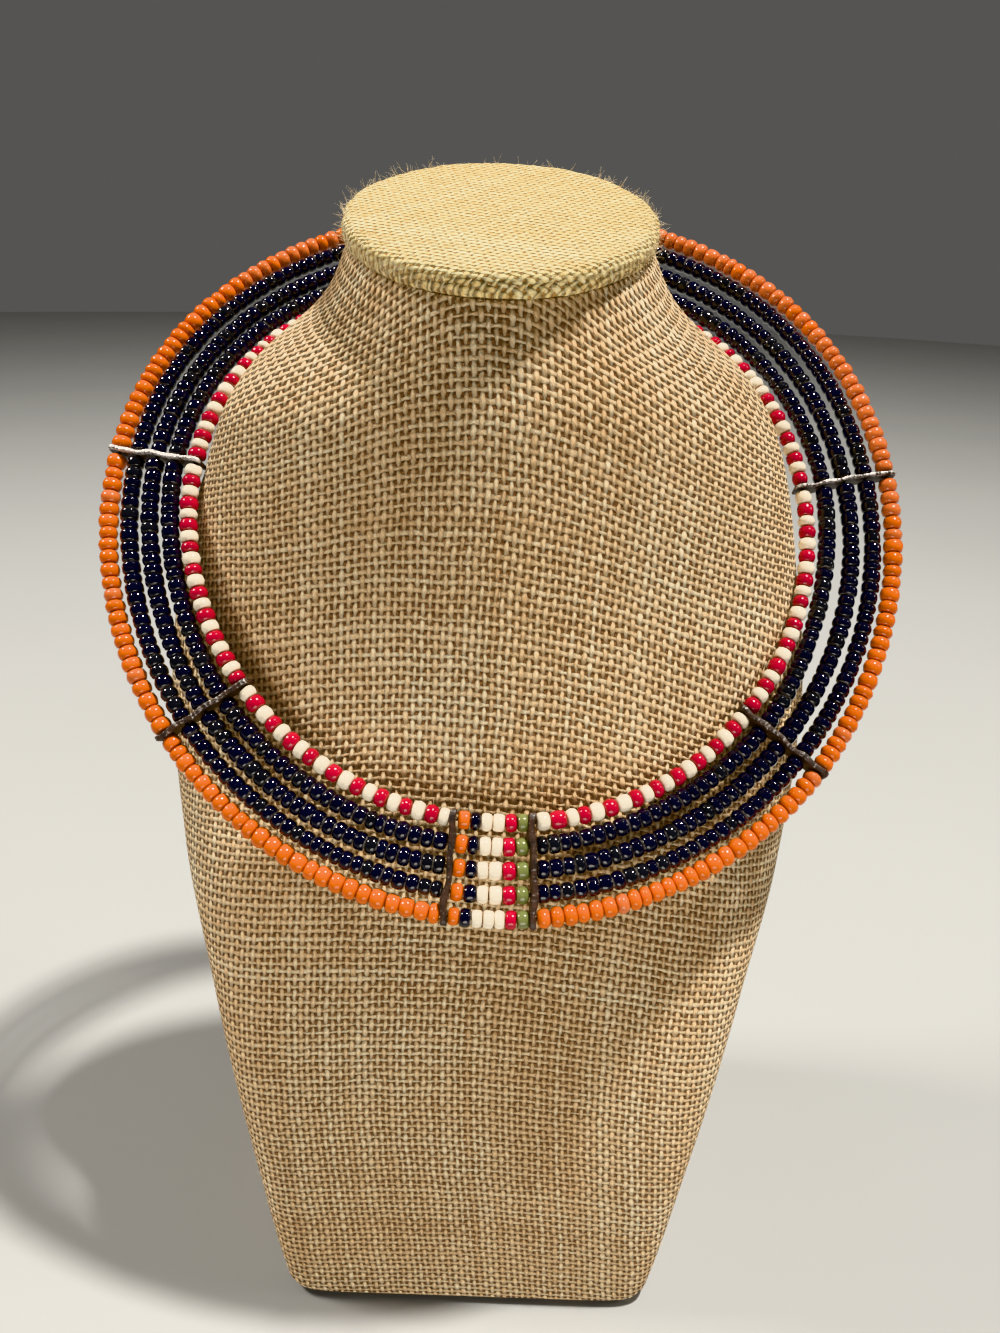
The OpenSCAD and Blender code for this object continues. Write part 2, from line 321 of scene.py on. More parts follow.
class Signal:
    """A shader value that Python's operators turn into Math nodes."""

    __add__ = __radd__ = adding("ADD")
    __sub__ = adding("SUBTRACT")
    __rsub__ = adding("SUBTRACT", swapped=True)
    __mul__ = __rmul__ = adding("MULTIPLY")
    __truediv__ = adding("DIVIDE")
    __rtruediv__ = adding("DIVIDE", swapped=True)
    __gt__ = adding("GREATER_THAN")
    __lt__ = adding("LESS_THAN")
    __abs__ = adding("ABSOLUTE")

    def __init__(self, paint: Paint, socket: bpy.types.NodeSocket) -> None:
        """Wraps an output socket of a paint's node tree."""
        self.paint = paint
        self.socket = socket


Source = Signal | float | Sequence[float]


class Paint:
    """A material that is built node by node."""

    def __init__(self, name: str) -> None:
        """Starts a material with a shader that shows.

        Args:
            name: The material's name.
        """
        self.material = bpy.data.materials.new(name)
        self.material.use_nodes = True
        self.tree = self.material.node_tree
        self.tree.nodes.clear()
        self.shader = self.node("ShaderNodeBsdfPrincipled")
        out = self.node("ShaderNodeOutputMaterial")
        self.tree.links.new(self.shader.outputs[0], out.inputs["Surface"])

    def node(
        self,
        kind: str,
        settings: Mapping[str, object] | None = None,
        inputs: Mapping[str | int, Source] | None = None,
    ) -> bpy.types.Node:
        """Adds a node.

        Args:
            kind: The node's type.
            settings: Its own settings, set first; stops are a ramp's places
                and colours.
            inputs: Values or links of its sockets by name or number.

        Returns:
            The node.
        """
        made = self.tree.nodes.new(kind)
        for key, value in (settings or {}).items():
            if key == "stops":
                self._set_stops(made.color_ramp.elements, value)
            else:
                setattr(made, key, value)
        for key, value in (inputs or {}).items():
            self.feed(made.inputs[key], value)
        return made

    @staticmethod
    def _set_stops(row: bpy.types.ColorRampElements, stops: Sequence[tuple[float, Colour]]) -> None:
        """Gives a ramp its places and colours.

        Args:
            row: The ramp's own row, which starts with two.
            stops: A place and a colour for each.
        """
        while len(row) < len(stops):
            row.new(1.0)
        for element, (place, colour) in zip(row, stops):
            element.position = place
            element.color = (*colour, 1.0)

    def signal(
        self,
        kind: str,
        settings: Mapping[str, object] | None = None,
        inputs: Mapping[str | int, Source] | None = None,
        output: str | int = 0,
    ) -> Signal:
        """Adds a node, as above, and gives one of its outputs."""
        return Signal(self, self.node(kind, settings, inputs).outputs[output])

    def feed(self, socket: bpy.types.NodeSocket, value: Source) -> None:
        """Links a socket to a signal, or sets it.

        Args:
            socket: The socket.
            value: A signal, number, vector or colour, which gets its fourth
                number here.
        """
        if isinstance(value, Signal):
            self.tree.links.new(value.socket, socket)
        elif isinstance(value, (int, float)):
            socket.default_value = value
        else:
            wanted = len(socket.default_value)
            socket.default_value = (*value, 1.0) if len(value) < wanted else tuple(value)

    def set(self, **sources: Source) -> None:
        """Feeds the shader's sockets, such as Base_Color for Base Color."""
        for key, value in sources.items():
            self.feed(self.shader.inputs[key.replace("_", " ")], value)

    def math(self, operation: str, *values: Source) -> Signal:
        """Adds a Math node and gives its result."""
        return self.signal("ShaderNodeMath", {"operation": operation}, dict(enumerate(values)))

    def greatest(self, a: Source, b: Source) -> Signal:
        """Gives the greater of two values."""
        return self.math("MAXIMUM", a, b)

    def step(self, value: Source, low: float, high: float, to: tuple[float, float] = (0, 1)) -> Signal:
        """Rises smoothly to the end of a range as a value goes from low to high."""
        inputs = {"Value": value, "From Min": low, "From Max": high, "To Min": to[0], "To Max": to[1]}
        return self.signal("ShaderNodeMapRange", {"interpolation_type": "SMOOTHSTEP"}, inputs, "Result")

    def mix(self, factor: Source, a: Source, b: Source, mode: str = "MIX") -> Signal:
        """Mixes a first colour with the factor's share of a second one."""
        settings = {"data_type": "RGBA", "blend_type": mode}
        return self.signal("ShaderNodeMix", settings, {0: factor, 6: a, 7: b}, 2)

    def tint(self, colour: Source, value: Source) -> Signal:
        """Darkens or lightens a colour by a plain number."""
        return self.mix(1.0, colour, self.vector(value, value, value), "MULTIPLY")

    def ramp(self, value: Source, *stops: tuple[float, Colour]) -> Signal:
        """Looks a value up in a row of places and colours."""
        return self.signal("ShaderNodeValToRGB", {"stops": stops}, {0: value})

    def parts(self, vector: Signal) -> tuple[Signal, Signal, Signal]:
        """Splits a vector into its three numbers."""
        made = self.node("ShaderNodeSeparateXYZ", None, {0: vector})
        return tuple(Signal(self, out) for out in made.outputs)

    def vector(self, x: Source, y: Source, z: Source) -> Signal:
        """Joins three numbers to a vector."""
        return self.signal("ShaderNodeCombineXYZ", None, {0: x, 1: y, 2: z})

    def here(self) -> Signal:
        """Gives the place on the object, in metres."""
        return self.signal("ShaderNodeTexCoord", output="Object")

    def attribute(self, name: str) -> Signal:
        """Reads a vector attribute of the mesh."""
        return self.signal("ShaderNodeAttribute", {"attribute_name": name}, output="Vector")

    def noise(self, place: Source, scale: float, detail: float = 2.0, rough: float = 0.5) -> Signal:
        """Adds a cloudy pattern with values about one half."""
        inputs = {"Vector": place, "Scale": scale, "Detail": detail, "Roughness": rough}
        return self.signal("ShaderNodeTexNoise", {"noise_dimensions": "3D"}, inputs)

    def dice(self, value: Source) -> Signal:
        """Gives each whole number a random value from nought to one."""
        return self.signal("ShaderNodeTexWhiteNoise", {"noise_dimensions": "1D"}, {"W": value}, "Value")

    def bump(self, height: Signal, depth: float) -> None:
        """Raises the surface by the depth in metres where the height is one."""
        inputs = {"Strength": 1.0, "Distance": depth, "Height": height}
        self.set(Normal=self.signal("ShaderNodeBump", None, inputs))


@dataclass(frozen=True)
class Coating:
    """A named finish, which each kind of it mixes in its own way."""

    name: str

    def make(self) -> bpy.types.Material:
        """Builds the material.

        Returns:
            The material.
        """
        paint = Paint(self.name)
        self.mix(paint)
        return paint.material

    def mix(self, paint: Paint) -> None:
        """Feeds the material's shader."""
        raise NotImplementedError


@dataclass(frozen=True)
class Burlap(Coating):
    """Coarse jute cloth in plain weave, read from the UV map in millimetres."""

    # gap is the dark colour of the weave's holes: painted shade where the backing lies deep between the
    # yarns.
    gap: Colour
    ground: Colour
    dark: Colour
    straw: Colour
    pale: Colour
    pitch: tuple[float, float] = (1.39, 1.85)
    fill: tuple[float, float] = (0.3, 0.235)
    relief: float = 0.0012
    # The colour of the painted shade on the cap's rolled rim, laid by its vertex attribute.
    soil: Colour = srgb(142, 112, 80)

    def mix(self, paint: Paint) -> None:
        """Mixes the yarns' colours, fibres and relief over the gaps, whose dark colour is painted shade,
        with painted light and shade on the yarns themselves.

        Args:
            paint: The material.
        """
        paint.set(Sheen_Weight=0.1, Sheen_Roughness=0.5, Specular_IOR_Level=0.2)
        place = paint.signal("ShaderNodeUVMap", {"uv_map": "weave"})
        across, up, _ = paint.parts(place)
        turned = paint.vector(up, across, 40.0)
        column = across / self.pitch[0] + (paint.noise(place, 0.11, 3.0) - 0.5) * 0.8
        row = up / self.pitch[1] + (paint.noise(turned, 0.11, 3.0) - 0.5) * 0.8
        column = column + (paint.noise(place, 0.9, 2.0) - 0.5) * 0.3
        row = row + (paint.noise(turned, 0.9, 2.0) - 0.5) * 0.3
        warp, weft, i, j, slope = self._threads(paint, column, row)
        height = paint.greatest(warp, weft)
        # Painted shadow: darker just below yarns that stand higher than the weave a little above them.
        above = paint.greatest(*self._threads(paint, column, row + 0.26)[:2])
        shaded = paint.step(above - height, 0.1, 1.0)
        top = warp > weft
        fine_x = top * (across * 4.0 + up * 2.0) + (1.0 - top) * (up * 4.0 + across * 2.0)
        fine_y = top * up * 0.9 + (1.0 - top) * across * 0.9
        fibre = paint.noise(paint.vector(fine_x, fine_y, top * 7.0), 1.0, 3.0, 0.65)
        tone = top * paint.dice(i + 0.25) + (1.0 - top) * paint.dice(j + 0.75)
        cloud = paint.noise(place, 0.03, 2.0)
        shade = tone * 0.3 + fibre * 1.7 + cloud * 0.5 - 0.75
        yarn = paint.ramp(shade, (0.15, self.dark), (0.5, self.straw), (0.85, self.pale))
        # Painted shade where a yarn lies low in the weave and painted light where it stands high; by its
        # slope, painted light where it turns up and painted shade where it turns down.
        yarn = paint.tint(yarn, paint.step(height, -0.3, 0.75, (0.7, 1.06)) * (1.0 + slope * 0.3))
        lint = paint.noise(place, 2.2, 3.0, 0.6)
        # The weave's holes: the gap colour is painted shade, mixed with the ground colour of the fuzz
        # there.
        ground = paint.mix(paint.step(lint, 0.36, 0.66), self.gap, self.ground)
        colour = paint.mix(paint.step(height, -0.85, -0.35), ground, yarn)
        # Lays in the painted shadow below raised yarns.
        colour = paint.tint(colour, 1.0 - shaded * 0.42)
        # Painted shade on the cap's rim, in patches, from its vertex attribute.
        rim_shade_patches = paint.step(0.6 * lint + 0.6 * fibre, 0.4, 0.85)
        rim_shaded = paint.parts(paint.attribute("soil"))[0] * rim_shade_patches
        colour = paint.mix(rim_shaded, colour, self.soil)
        paint.set(Base_Color=colour, Roughness=0.9 - fibre * 0.15)
        paint.bump(height + fibre * 0.35 + lint * 0.15, self.relief)

    def _threads(self, paint: Paint, column: Signal, row: Signal) -> tuple[Signal, ...]:
        """Weaves the two sets of yarns.

        Args:
            paint: The material they belong to.
            column: The place across the warp, one for each yarn.
            row: The place up the weft, one for each yarn.

        Returns:
            The heights of warp and weft, the numbers of their yarns and how
            far the upper yarn turns up, from minus one to one.
        """
        i = paint.math("FLOOR", column)
        j = paint.math("FLOOR", row)
        fu = column - i - 0.5
        fv = row - j - 0.5
        turn = (i + j) * 0.5
        side = 1.0 - (turn - paint.math("FLOOR", turn)) * 4.0
        warp_wave = paint.math("COSINE", fv * math.pi) * side
        weft_wave = paint.math("COSINE", fu * math.pi) * side * -1.0
        warp_thick = paint.noise(paint.vector(i * 3.7, row * 0.5, 3.0), 1.0, 1.0)
        weft_thick = paint.noise(paint.vector(column * 0.5, j * 3.7, 9.0), 1.0, 1.0)
        warp_half = self.fill[0] - 0.17 + paint.dice(i) * 0.08 + warp_thick * 0.26 + warp_wave * 0.07
        weft_half = self.fill[1] - 0.17 + paint.dice(j + 0.5) * 0.08 + weft_thick * 0.26
        warp = self._yarn(paint, fu / warp_half, warp_wave)
        weft = self._yarn(paint, fv / weft_half, weft_wave)
        upper = warp > weft
        # slope drives the painted light and shade on the yarns' upturned and downturned sides.
        slope = upper * paint.math("SINE", fv * math.pi) * side + (1.0 - upper) * fv / weft_half * 0.8
        return warp, weft, i, j, slope

    @staticmethod
    def _yarn(paint: Paint, across: Signal, wave: Signal) -> Signal:
        """Gives one yarn's height.

        Args:
            paint: The material it belongs to.
            across: The place across the yarn, one at its edge.
            wave: One where it goes over and minus one where it goes under.

        Returns:
            The height, minus nine tenths beside the yarn.
        """
        room = 1.0 - across * across
        inside = room > 0.0
        round_top = paint.math("SQRT", paint.greatest(room, 0.0))
        return inside * (round_top * 0.65 + wave * 0.5 + 0.9) - 0.9


@dataclass(frozen=True)
class JuteFibre(Coating):
    """Single pale fibres that stand off the cloth."""

    pale: Colour = srgb(246, 230, 196)
    brown: Colour = srgb(218, 190, 148)

    def mix(self, paint: Paint) -> None:
        """Mixes pale and brown stretches.

        Args:
            paint: The material.
        """
        paint.set(Sheen_Weight=0.2, Specular_IOR_Level=0.3)
        tone = paint.noise(paint.here(), 700.0, 2.0)
        paint.set(
            Base_Color=paint.mix(paint.step(tone, 0.35, 0.65), self.brown, self.pale),
            Roughness=0.7 + tone * 0.2,
        )
        paint.bump(tone, 0.00001)


@dataclass(frozen=True)
class BeadGlass(Coating):
    """Opaque glass of the beads, whose rims beside the wire carry old dust mixed with painted shade, and
    on the navy glass a painted sheen.
    """

    plain: Colour
    other: Colour
    dust_shade_and_sheen: Colour
    rim_mark_amount: float = 0.6
    rim_mark_from: float = 0.8
    vary: float = 0.35
    gloss: float = 0.14
    mirror: float = 0.32

    def mix(self, paint: Paint) -> None:
        """Mixes the glass, whose two colours the bead attribute picks.

        Args:
            paint: The material.
        """
        paint.set(Coat_Weight=self.mirror, Coat_Roughness=0.03, Specular_IOR_Level=0.35)
        kind, shade, along = paint.parts(paint.attribute("bead"))
        place = paint.here()
        cloud = paint.noise(place, 900.0, 3.0, 0.6)
        grime = paint.noise(place, 1500.0, 3.0, 0.65)
        colour = paint.mix(paint.step(kind, 0.4, 0.6), self.plain, self.other)
        value = 1.0 - self.vary / 2 + (shade * 0.55 + cloud * 0.45) * self.vary
        colour = paint.tint(colour, value)
        # The rims beside the wire are partly old dust and partly painted light: painted shade between
        # the lighter beads, and a painted sheen on the navy glass's edges.
        rim = paint.step(abs(along) + (grime - 0.5) * 0.5, self.rim_mark_from, 1.02)
        fleck = paint.step(grime, 0.62, 0.8) * 0.12
        rim_marked = (rim + fleck) * self.rim_mark_amount
        paint.set(
            Base_Color=paint.mix(rim_marked, colour, self.dust_shade_and_sheen),
            Roughness=self.gloss + rim_marked * 0.5 + cloud * 0.04,
        )
        paint.bump(cloud + grime * rim_marked, 0.00003)


@dataclass(frozen=True)
class ScrapedLeather(Coating):
    """Dark brown hide strip with a scraped edge, whose pale patches are partly wear and partly a painted
    glint.
    """

    deep: Colour = srgb(28, 18, 13)
    brown: Colour = srgb(66, 44, 33)
    shine: Colour = srgb(244, 238, 232)

    def mix(self, paint: Paint) -> None:
        """Mixes the hide, whose edge attribute says where it shines.

        Args:
            paint: The material.
        """
        paint.set(Coat_Weight=0.25, Coat_Roughness=0.3)
        edge, along, amount = paint.parts(paint.attribute("edge"))
        place = paint.here()
        grain = paint.noise(place, 700.0, 4.0, 0.6)
        pits = paint.noise(place, 2600.0, 3.0, 0.6)
        streak = paint.noise(paint.vector(along * 9.0, edge * 3.0, pits), 1.6, 3.0)
        hide = paint.mix(paint.step(grain, 0.3, 0.7), self.deep, self.brown)
        # Pale patches on the edge: partly scraped wear, partly a painted glint; they are also metallic,
        # so they mirror the lamps.
        wear_and_glint = paint.step(pits * 0.6 + streak * 0.6 + amount * 0.36, 0.84, 1.0)
        wear_and_glint = wear_and_glint * paint.step(edge, 0.72, 0.95)
        bright = paint.tint(self.shine, 0.35 + amount * 0.65)
        paint.set(
            Base_Color=paint.mix(wear_and_glint * 0.9, hide, bright),
            Roughness=0.52 - wear_and_glint * 0.26 + pits * 0.12,
            Metallic=wear_and_glint * 0.75,
        )
        paint.bump(grain * 0.6 + pits * 0.5, 0.00022)


@dataclass(frozen=True)
class DrawnSteel(Coating):
    """Plain steel of the wires and the clasp."""

    colour: Colour
    rough: float

    def mix(self, paint: Paint) -> None:
        """Mixes a thin film over the lines of drawing.

        Args:
            paint: The material.
        """
        place = paint.here()
        film = paint.noise(place, 400.0, 4.0, 0.6)
        x, y, z = paint.parts(place)
        line = paint.noise(paint.vector(x * 300.0, y * 6000.0, z * 6000.0), 1.0, 2.0)
        paint.set(
            Base_Color=paint.tint(self.colour, 0.75 + film * 0.5),
            Roughness=self.rough - 0.1 + film * 0.15 + line * 0.1,
            Metallic=1.0,
        )
        paint.bump(line + film * 0.5, 0.00002)


@dataclass(frozen=True)
class PaleBoard(Coating):
    """Plain board, clouded a little; the thin dark pad under the body uses it too."""

    colour: Colour = srgb(166, 167, 166)

    def mix(self, paint: Paint) -> None:
        """Mixes the faint clouds."""
        colour = paint.tint(self.colour, 0.97 + paint.noise(paint.here(), 6.0, 3.0) * 0.06)
        paint.set(Base_Color=colour, Roughness=0.6, Specular_IOR_Level=0.3)


class Finish(Enum):
    """The finishes of the collar and its bust."""

    BUST_CLOTH = Burlap(
        "drawn_bust_cloth",
        gap=srgb(98, 66, 38),
        ground=srgb(168, 125, 84),
        dark=srgb(212, 173, 127),
        straw=srgb(244, 211, 165),
        pale=srgb(255, 244, 210),
    )
    CAP_CLOTH = Burlap(
        "drawn_cap_cloth",
        gap=srgb(160, 118, 64),
        ground=srgb(212, 168, 98),
        dark=srgb(232, 192, 122),
        straw=srgb(255, 234, 168),
        pale=srgb(255, 250, 212),
        pitch=(1.3, 1.27),
        fill=(0.31, 0.27),
        soil=srgb(190, 160, 122),
    )
    FUZZ = JuteFibre("loose_jute_fibre")
    ORANGE = BeadGlass(
        "orange_glass",
        srgb(210, 99, 0),
        srgb(206, 112, 64),
        srgb(130, 50, 20),
        rim_mark_amount=0.5,
        mirror=0.15,
    )
    # The navy glass's pale rim colour is partly dust and partly a painted sheen of its glass edges.
    NAVY = BeadGlass(
        "navy_glass",
        srgb(14, 15, 32),
        srgb(28, 29, 34),
        srgb(176, 170, 164),
        rim_mark_amount=0.62,
        rim_mark_from=0.86,
        vary=0.6,
        gloss=0.03,
        mirror=0.45,
    )
    RED_WHITE = BeadGlass("red_white_glass", srgb(238, 226, 204), srgb(165, 14, 44), srgb(140, 86, 60))
    WHITE = BeadGlass("white_glass", srgb(238, 226, 204), srgb(222, 192, 146), srgb(150, 108, 66))
    RED = BeadGlass("red_glass", srgb(172, 10, 46), srgb(160, 40, 50), srgb(90, 30, 26))
    GREEN = BeadGlass("green_glass", srgb(112, 118, 74), srgb(86, 84, 52), srgb(70, 58, 36))
    HIDE = ScrapedLeather("scraped_leather")
    WIRE = DrawnSteel("dark_wire", srgb(84, 72, 62), 0.5)
    STEEL = DrawnSteel("satin_steel", srgb(196, 190, 182), 0.3)
    FELT = PaleBoard("dark_base_pad", srgb(58, 54, 52))
    BOARD = PaleBoard("pale_board")

    def on(self, piece: bpy.types.Object) -> None:
        """Puts the finish, which is made when first needed, on a piece.

        Args:
            piece: The mesh object.
        """
        material = bpy.data.materials.get(self.value.name) or self.value.make()
        piece.data.materials.clear()
        piece.data.materials.append(material)


# ---------------------------------------------------------------- bust


@dataclass
class NeckBust:
    """The cloth cover of the body, wrapped on the same sections as the solid.

    A row of sections holds a height share, the shares of width, front and back,
    the squareness and the share of the top's lean. A row of drape holds a height,
    the density, tilt and arch of the weave's rows, the sway of its columns and
    how much denser the rows are aside. cloth_from is where on the endless cloth
    the cover is cut.
    """

    height: float = 234.9
    shoulder: float = 146.03
    front: float = 53.95
    back: float = 37.95
    lean: float = 19.2
    rows: int = 132
    columns: int = 240
    swell: float = 2.2
    clear: float = 2.15
    shift: float = 0.8
    shoulders: tuple[float, float] = (0.56, 0.94)
    pad_top: float = 1.7
    pad_share: float = 0.985
    cloth_from: tuple[float, float] = (400.0, 60.0)
    sections: Sequence[Sequence[float]] = (
        (0.0, 0.585, 0.985, 0.73, 14.0, 0.0),
        (0.015, 0.612, 1.0, 0.75, 14.0, 0.0),
        (0.172, 0.715, 0.97, 0.82, 10.0, 0.0),
        (0.344, 0.85, 0.89, 0.92, 5.2, 0.0),
        (0.455, 0.956, 0.812, 0.98, 3.0, 0.0),
        (0.566, 1.0, 0.73, 1.0, 1.9, 0.0),
        (0.693, 0.913, 0.655, 0.99, 1.65, 0.0),
        (0.819, 0.8, 0.59, 0.96, 1.75, 0.0),
        (0.895, 0.675, 0.56, 0.86, 1.9, 0.3),
        (0.953, 0.48, 0.525, 0.77, 2.0, 0.65),
        (1.0, 0.401, 0.513, 0.73, 2.0, 1.0),
    )
    drape: Sequence[Sequence[float]] = (
        (0.0, 1.14, 0.03, 0.0018, 0.085, 0.0),
        (45.0, 1.12, 0.03, 0.0018, 0.085, 0.0),
        (80.0, 1.02, 0.045, 0.002, -0.02, 0.0),
        (112.0, 1.0, 0.06, 0.0026, -0.05, -0.03),
        (144.0, 1.0, 0.075, 0.0054, -0.02, -0.09),
        (155.0, 1.0, 0.08, 0.0058, -0.01, -0.12),
        (172.0, 1.0, 0.085, 0.0064, 0.0, 0.04),
        (188.0, 1.0, 0.085, 0.0074, 0.0, 0.18),
        (200.0, 1.0, 0.085, 0.0083, 0.0, 0.34),
        (250.0, 1.0, 0.085, 0.0083, 0.0, 0.44),
    )
    middle: np.ndarray = field(default_factory=lambda: np.zeros(3))

    def __post_init__(self) -> None:
        """Finds the neck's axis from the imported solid."""
        low, high = (np.array(corner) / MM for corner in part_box("bust"))
        self.middle = np.array([(low[0] + high[0]) / 2, low[1] + self.front, 0.0])

    def section(self, share: np.ndarray, column: int) -> np.ndarray:
        """Reads one column of the sections at height shares.

        Args:
            share: Heights as shares of the body's height.
            column: The column's number.

        Returns:
            The smooth values there.
        """
        table = np.array(self.sections)
        heights, values = table[:, 0], table[:, column]
        inner = (values[2:] - values[:-2]) / (heights[2:] - heights[:-2])
        outer = np.diff(values)[[0, -1]] / np.diff(heights)[[0, -1]]
        slopes = np.concatenate([outer[:1], inner, outer[1:]])
        i = np.clip(np.searchsorted(heights, share, side="right") - 1, 0, len(inner))
        span = heights[i + 1] - heights[i]
        t = (share - heights[i]) / span
        start = (2 * t**3 - 3 * t**2 + 1) * values[i] + (t**3 - 2 * t**2 + t) * slopes[i] * span
        end = (3 * t**2 - 2 * t**3) * values[i + 1] + (t**3 - t**2) * slopes[i + 1] * span
        return start + end

    def outline(self, share: float) -> np.ndarray:
        """Walks once round the body at a height share.

        Args:
            share: The height as a share of the body's height.

        Returns:
            Points and, in a fourth column, the way walked from the front's
            middle, spaced evenly from the back round the front to the back.
        """
        at = np.array([share])
        width = self.section(at, 1)[0] * self.shoulder / 2
        square = 2 / self.section(at, 4)[0]
        angle = np.radians(np.linspace(-270, 90, 2881))
        x = width * np.sign(np.cos(angle)) * np.abs(np.cos(angle)) ** square
        reach = np.where(
            np.sin(angle) < 0,
            self.section(at, 2)[0] * self.front,
            self.section(at, 3)[0] * self.back,
        )
        y = reach * np.sign(np.sin(angle)) * np.abs(np.sin(angle)) ** square
        z = share * self.height + y * math.tan(math.radians(self.section(at, 5)[0] * self.lean))
        ring = np.stack([x, y, z], axis=1)
        way = walked(ring[:, :2])
        even = np.linspace(0, way[-1], self.columns + 1)
        spread = [np.interp(even, way, ring[:, k]) for k in range(3)]
        return np.stack([*spread, even - way[-1] / 2], axis=1)

    def fill_out(self, points: np.ndarray, share: np.ndarray, strand: np.ndarray) -> np.ndarray:
        """Lets the shoulders stand out towards the innermost strand, and moves the neck aside.

        Args:
            points: The cloth's points in millimetres.
            share: Their heights as shares of the body's.
            strand: Points of the innermost strand's line.

        Returns:
            The points, which keep clear of the strand's beads.
        """
        away = points - self.middle
        away[:, 2] = 0
        half = self.section(share, 1) * self.shoulder / 2
        apart = np.full(len(points), np.inf)
        for spot in strand:
            apart = np.minimum(apart, np.linalg.norm(points - spot, axis=1))
        low, top = self.shoulders
        high = np.clip((share - low) / 0.1, 0, 1) * np.clip((top - share) / 0.08, 0, 1)
        aside = np.clip(np.abs(away[:, 0]) / half * 2 - 0.8, 0, 1)
        push = np.clip(apart - self.clear, 0, self.swell) * high * aside
        points = points + unit(away) * push[:, None]
        neck = np.clip((share - 0.7) / 0.12, 0, 1) * np.clip((1 - share) / 0.1, 0, 1)
        points[:, 0] += self.shift * neck
        return points

    def build(self, strand: np.ndarray) -> bpy.types.Object:
        """Wraps a grid round the body, closes it and dresses it.

        Args:
            strand: Points of the innermost strand's line in millimetres.

        Returns:
            The cover.
        """
        Bench.clear()
        bpy.ops.mesh.primitive_grid_add(
            x_subdivisions=self.columns, y_subdivisions=self.rows, size=1.0
        )
        cover = Bench.new("bust_cover")
        grid = Bench.points(cover)
        column = np.rint((grid[:, 0] + 0.5) * self.columns).astype(int)
        row = np.rint((grid[:, 1] + 0.5) * self.rows).astype(int)
        shares = np.linspace(self.pad_top / self.height, 1, self.rows + 1)
        rings = np.array([self.outline(share) for share in shares])
        table = np.array(self.drape)
        high = shares * self.height
        dense, slope, arch, sway, side = (
            np.interp(high, table[:, 0], table[:, k])[:, None] for k in range(1, 6)
        )
        dense = dense * (1 + side * (rings[:, :, 0] / 50) ** 2)
        climb = np.linalg.norm(np.diff(rings[:, :, :3], axis=0), axis=2) * dense[1:]
        climb = np.concatenate([np.zeros((1, self.columns + 1)), np.cumsum(climb, axis=0)])
        drift = np.cumsum(sway, axis=0) * self.height / self.rows
        x = rings[:, :, 0]
        weave_u = rings[:, :, 3] + drift + self.cloth_from[0]
        weave_v = climb + slope * x + arch * x * x + self.cloth_from[1]
        points = rings[row, column, :3] + self.middle
        Bench.move(cover, self.fill_out(points, shares[row], strand) * MM)
        Bench.lay_weave(cover, weave_u[row, column], weave_v[row, column])
        with Bench.edit(cover):
            bpy.ops.mesh.remove_doubles(threshold=0.00002)
            bpy.ops.mesh.select_all(action="DESELECT")
            bpy.ops.mesh.select_mode(type="EDGE")
            bpy.ops.mesh.select_non_manifold()
            bpy.ops.mesh.fill_holes(sides=0)
            bpy.ops.mesh.select_all(action="SELECT")
            bpy.ops.mesh.normals_make_consistent(inside=False)
        Bench.smooth(cover, 50)
        Finish.BUST_CLOTH.on(cover)
        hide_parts("bust")
        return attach(cover, "root")

    def pad(self) -> bpy.types.Object:
        """Cuts the thin dark pad under the body.

        Returns:
            The pad.
        """
        Bench.clear()
        bpy.ops.mesh.primitive_circle_add(vertices=self.columns, radius=1.0, fill_type="NGON")
        pad = Bench.new("base_pad")
        ring = self.outline(0.0)[:-1, :3]
        Bench.move(pad, ring * self.pad_share)
        with Bench.edit(pad):
            bpy.ops.mesh.extrude_region_move(
                TRANSFORM_OT_translate={"value": (0.0, 0.0, self.pad_top + 0.3)}
            )
            bpy.ops.mesh.select_all(action="SELECT")
            bpy.ops.mesh.normals_make_consistent(inside=False)
        Bench.soften(pad, 0.25, 2)
        pad.data.transform(Matrix.Scale(MM, 4) @ Matrix.Translation(self.middle.tolist()))
        Bench.smooth(pad, 50)
        Finish.FELT.on(pad)
        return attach(pad, "root")


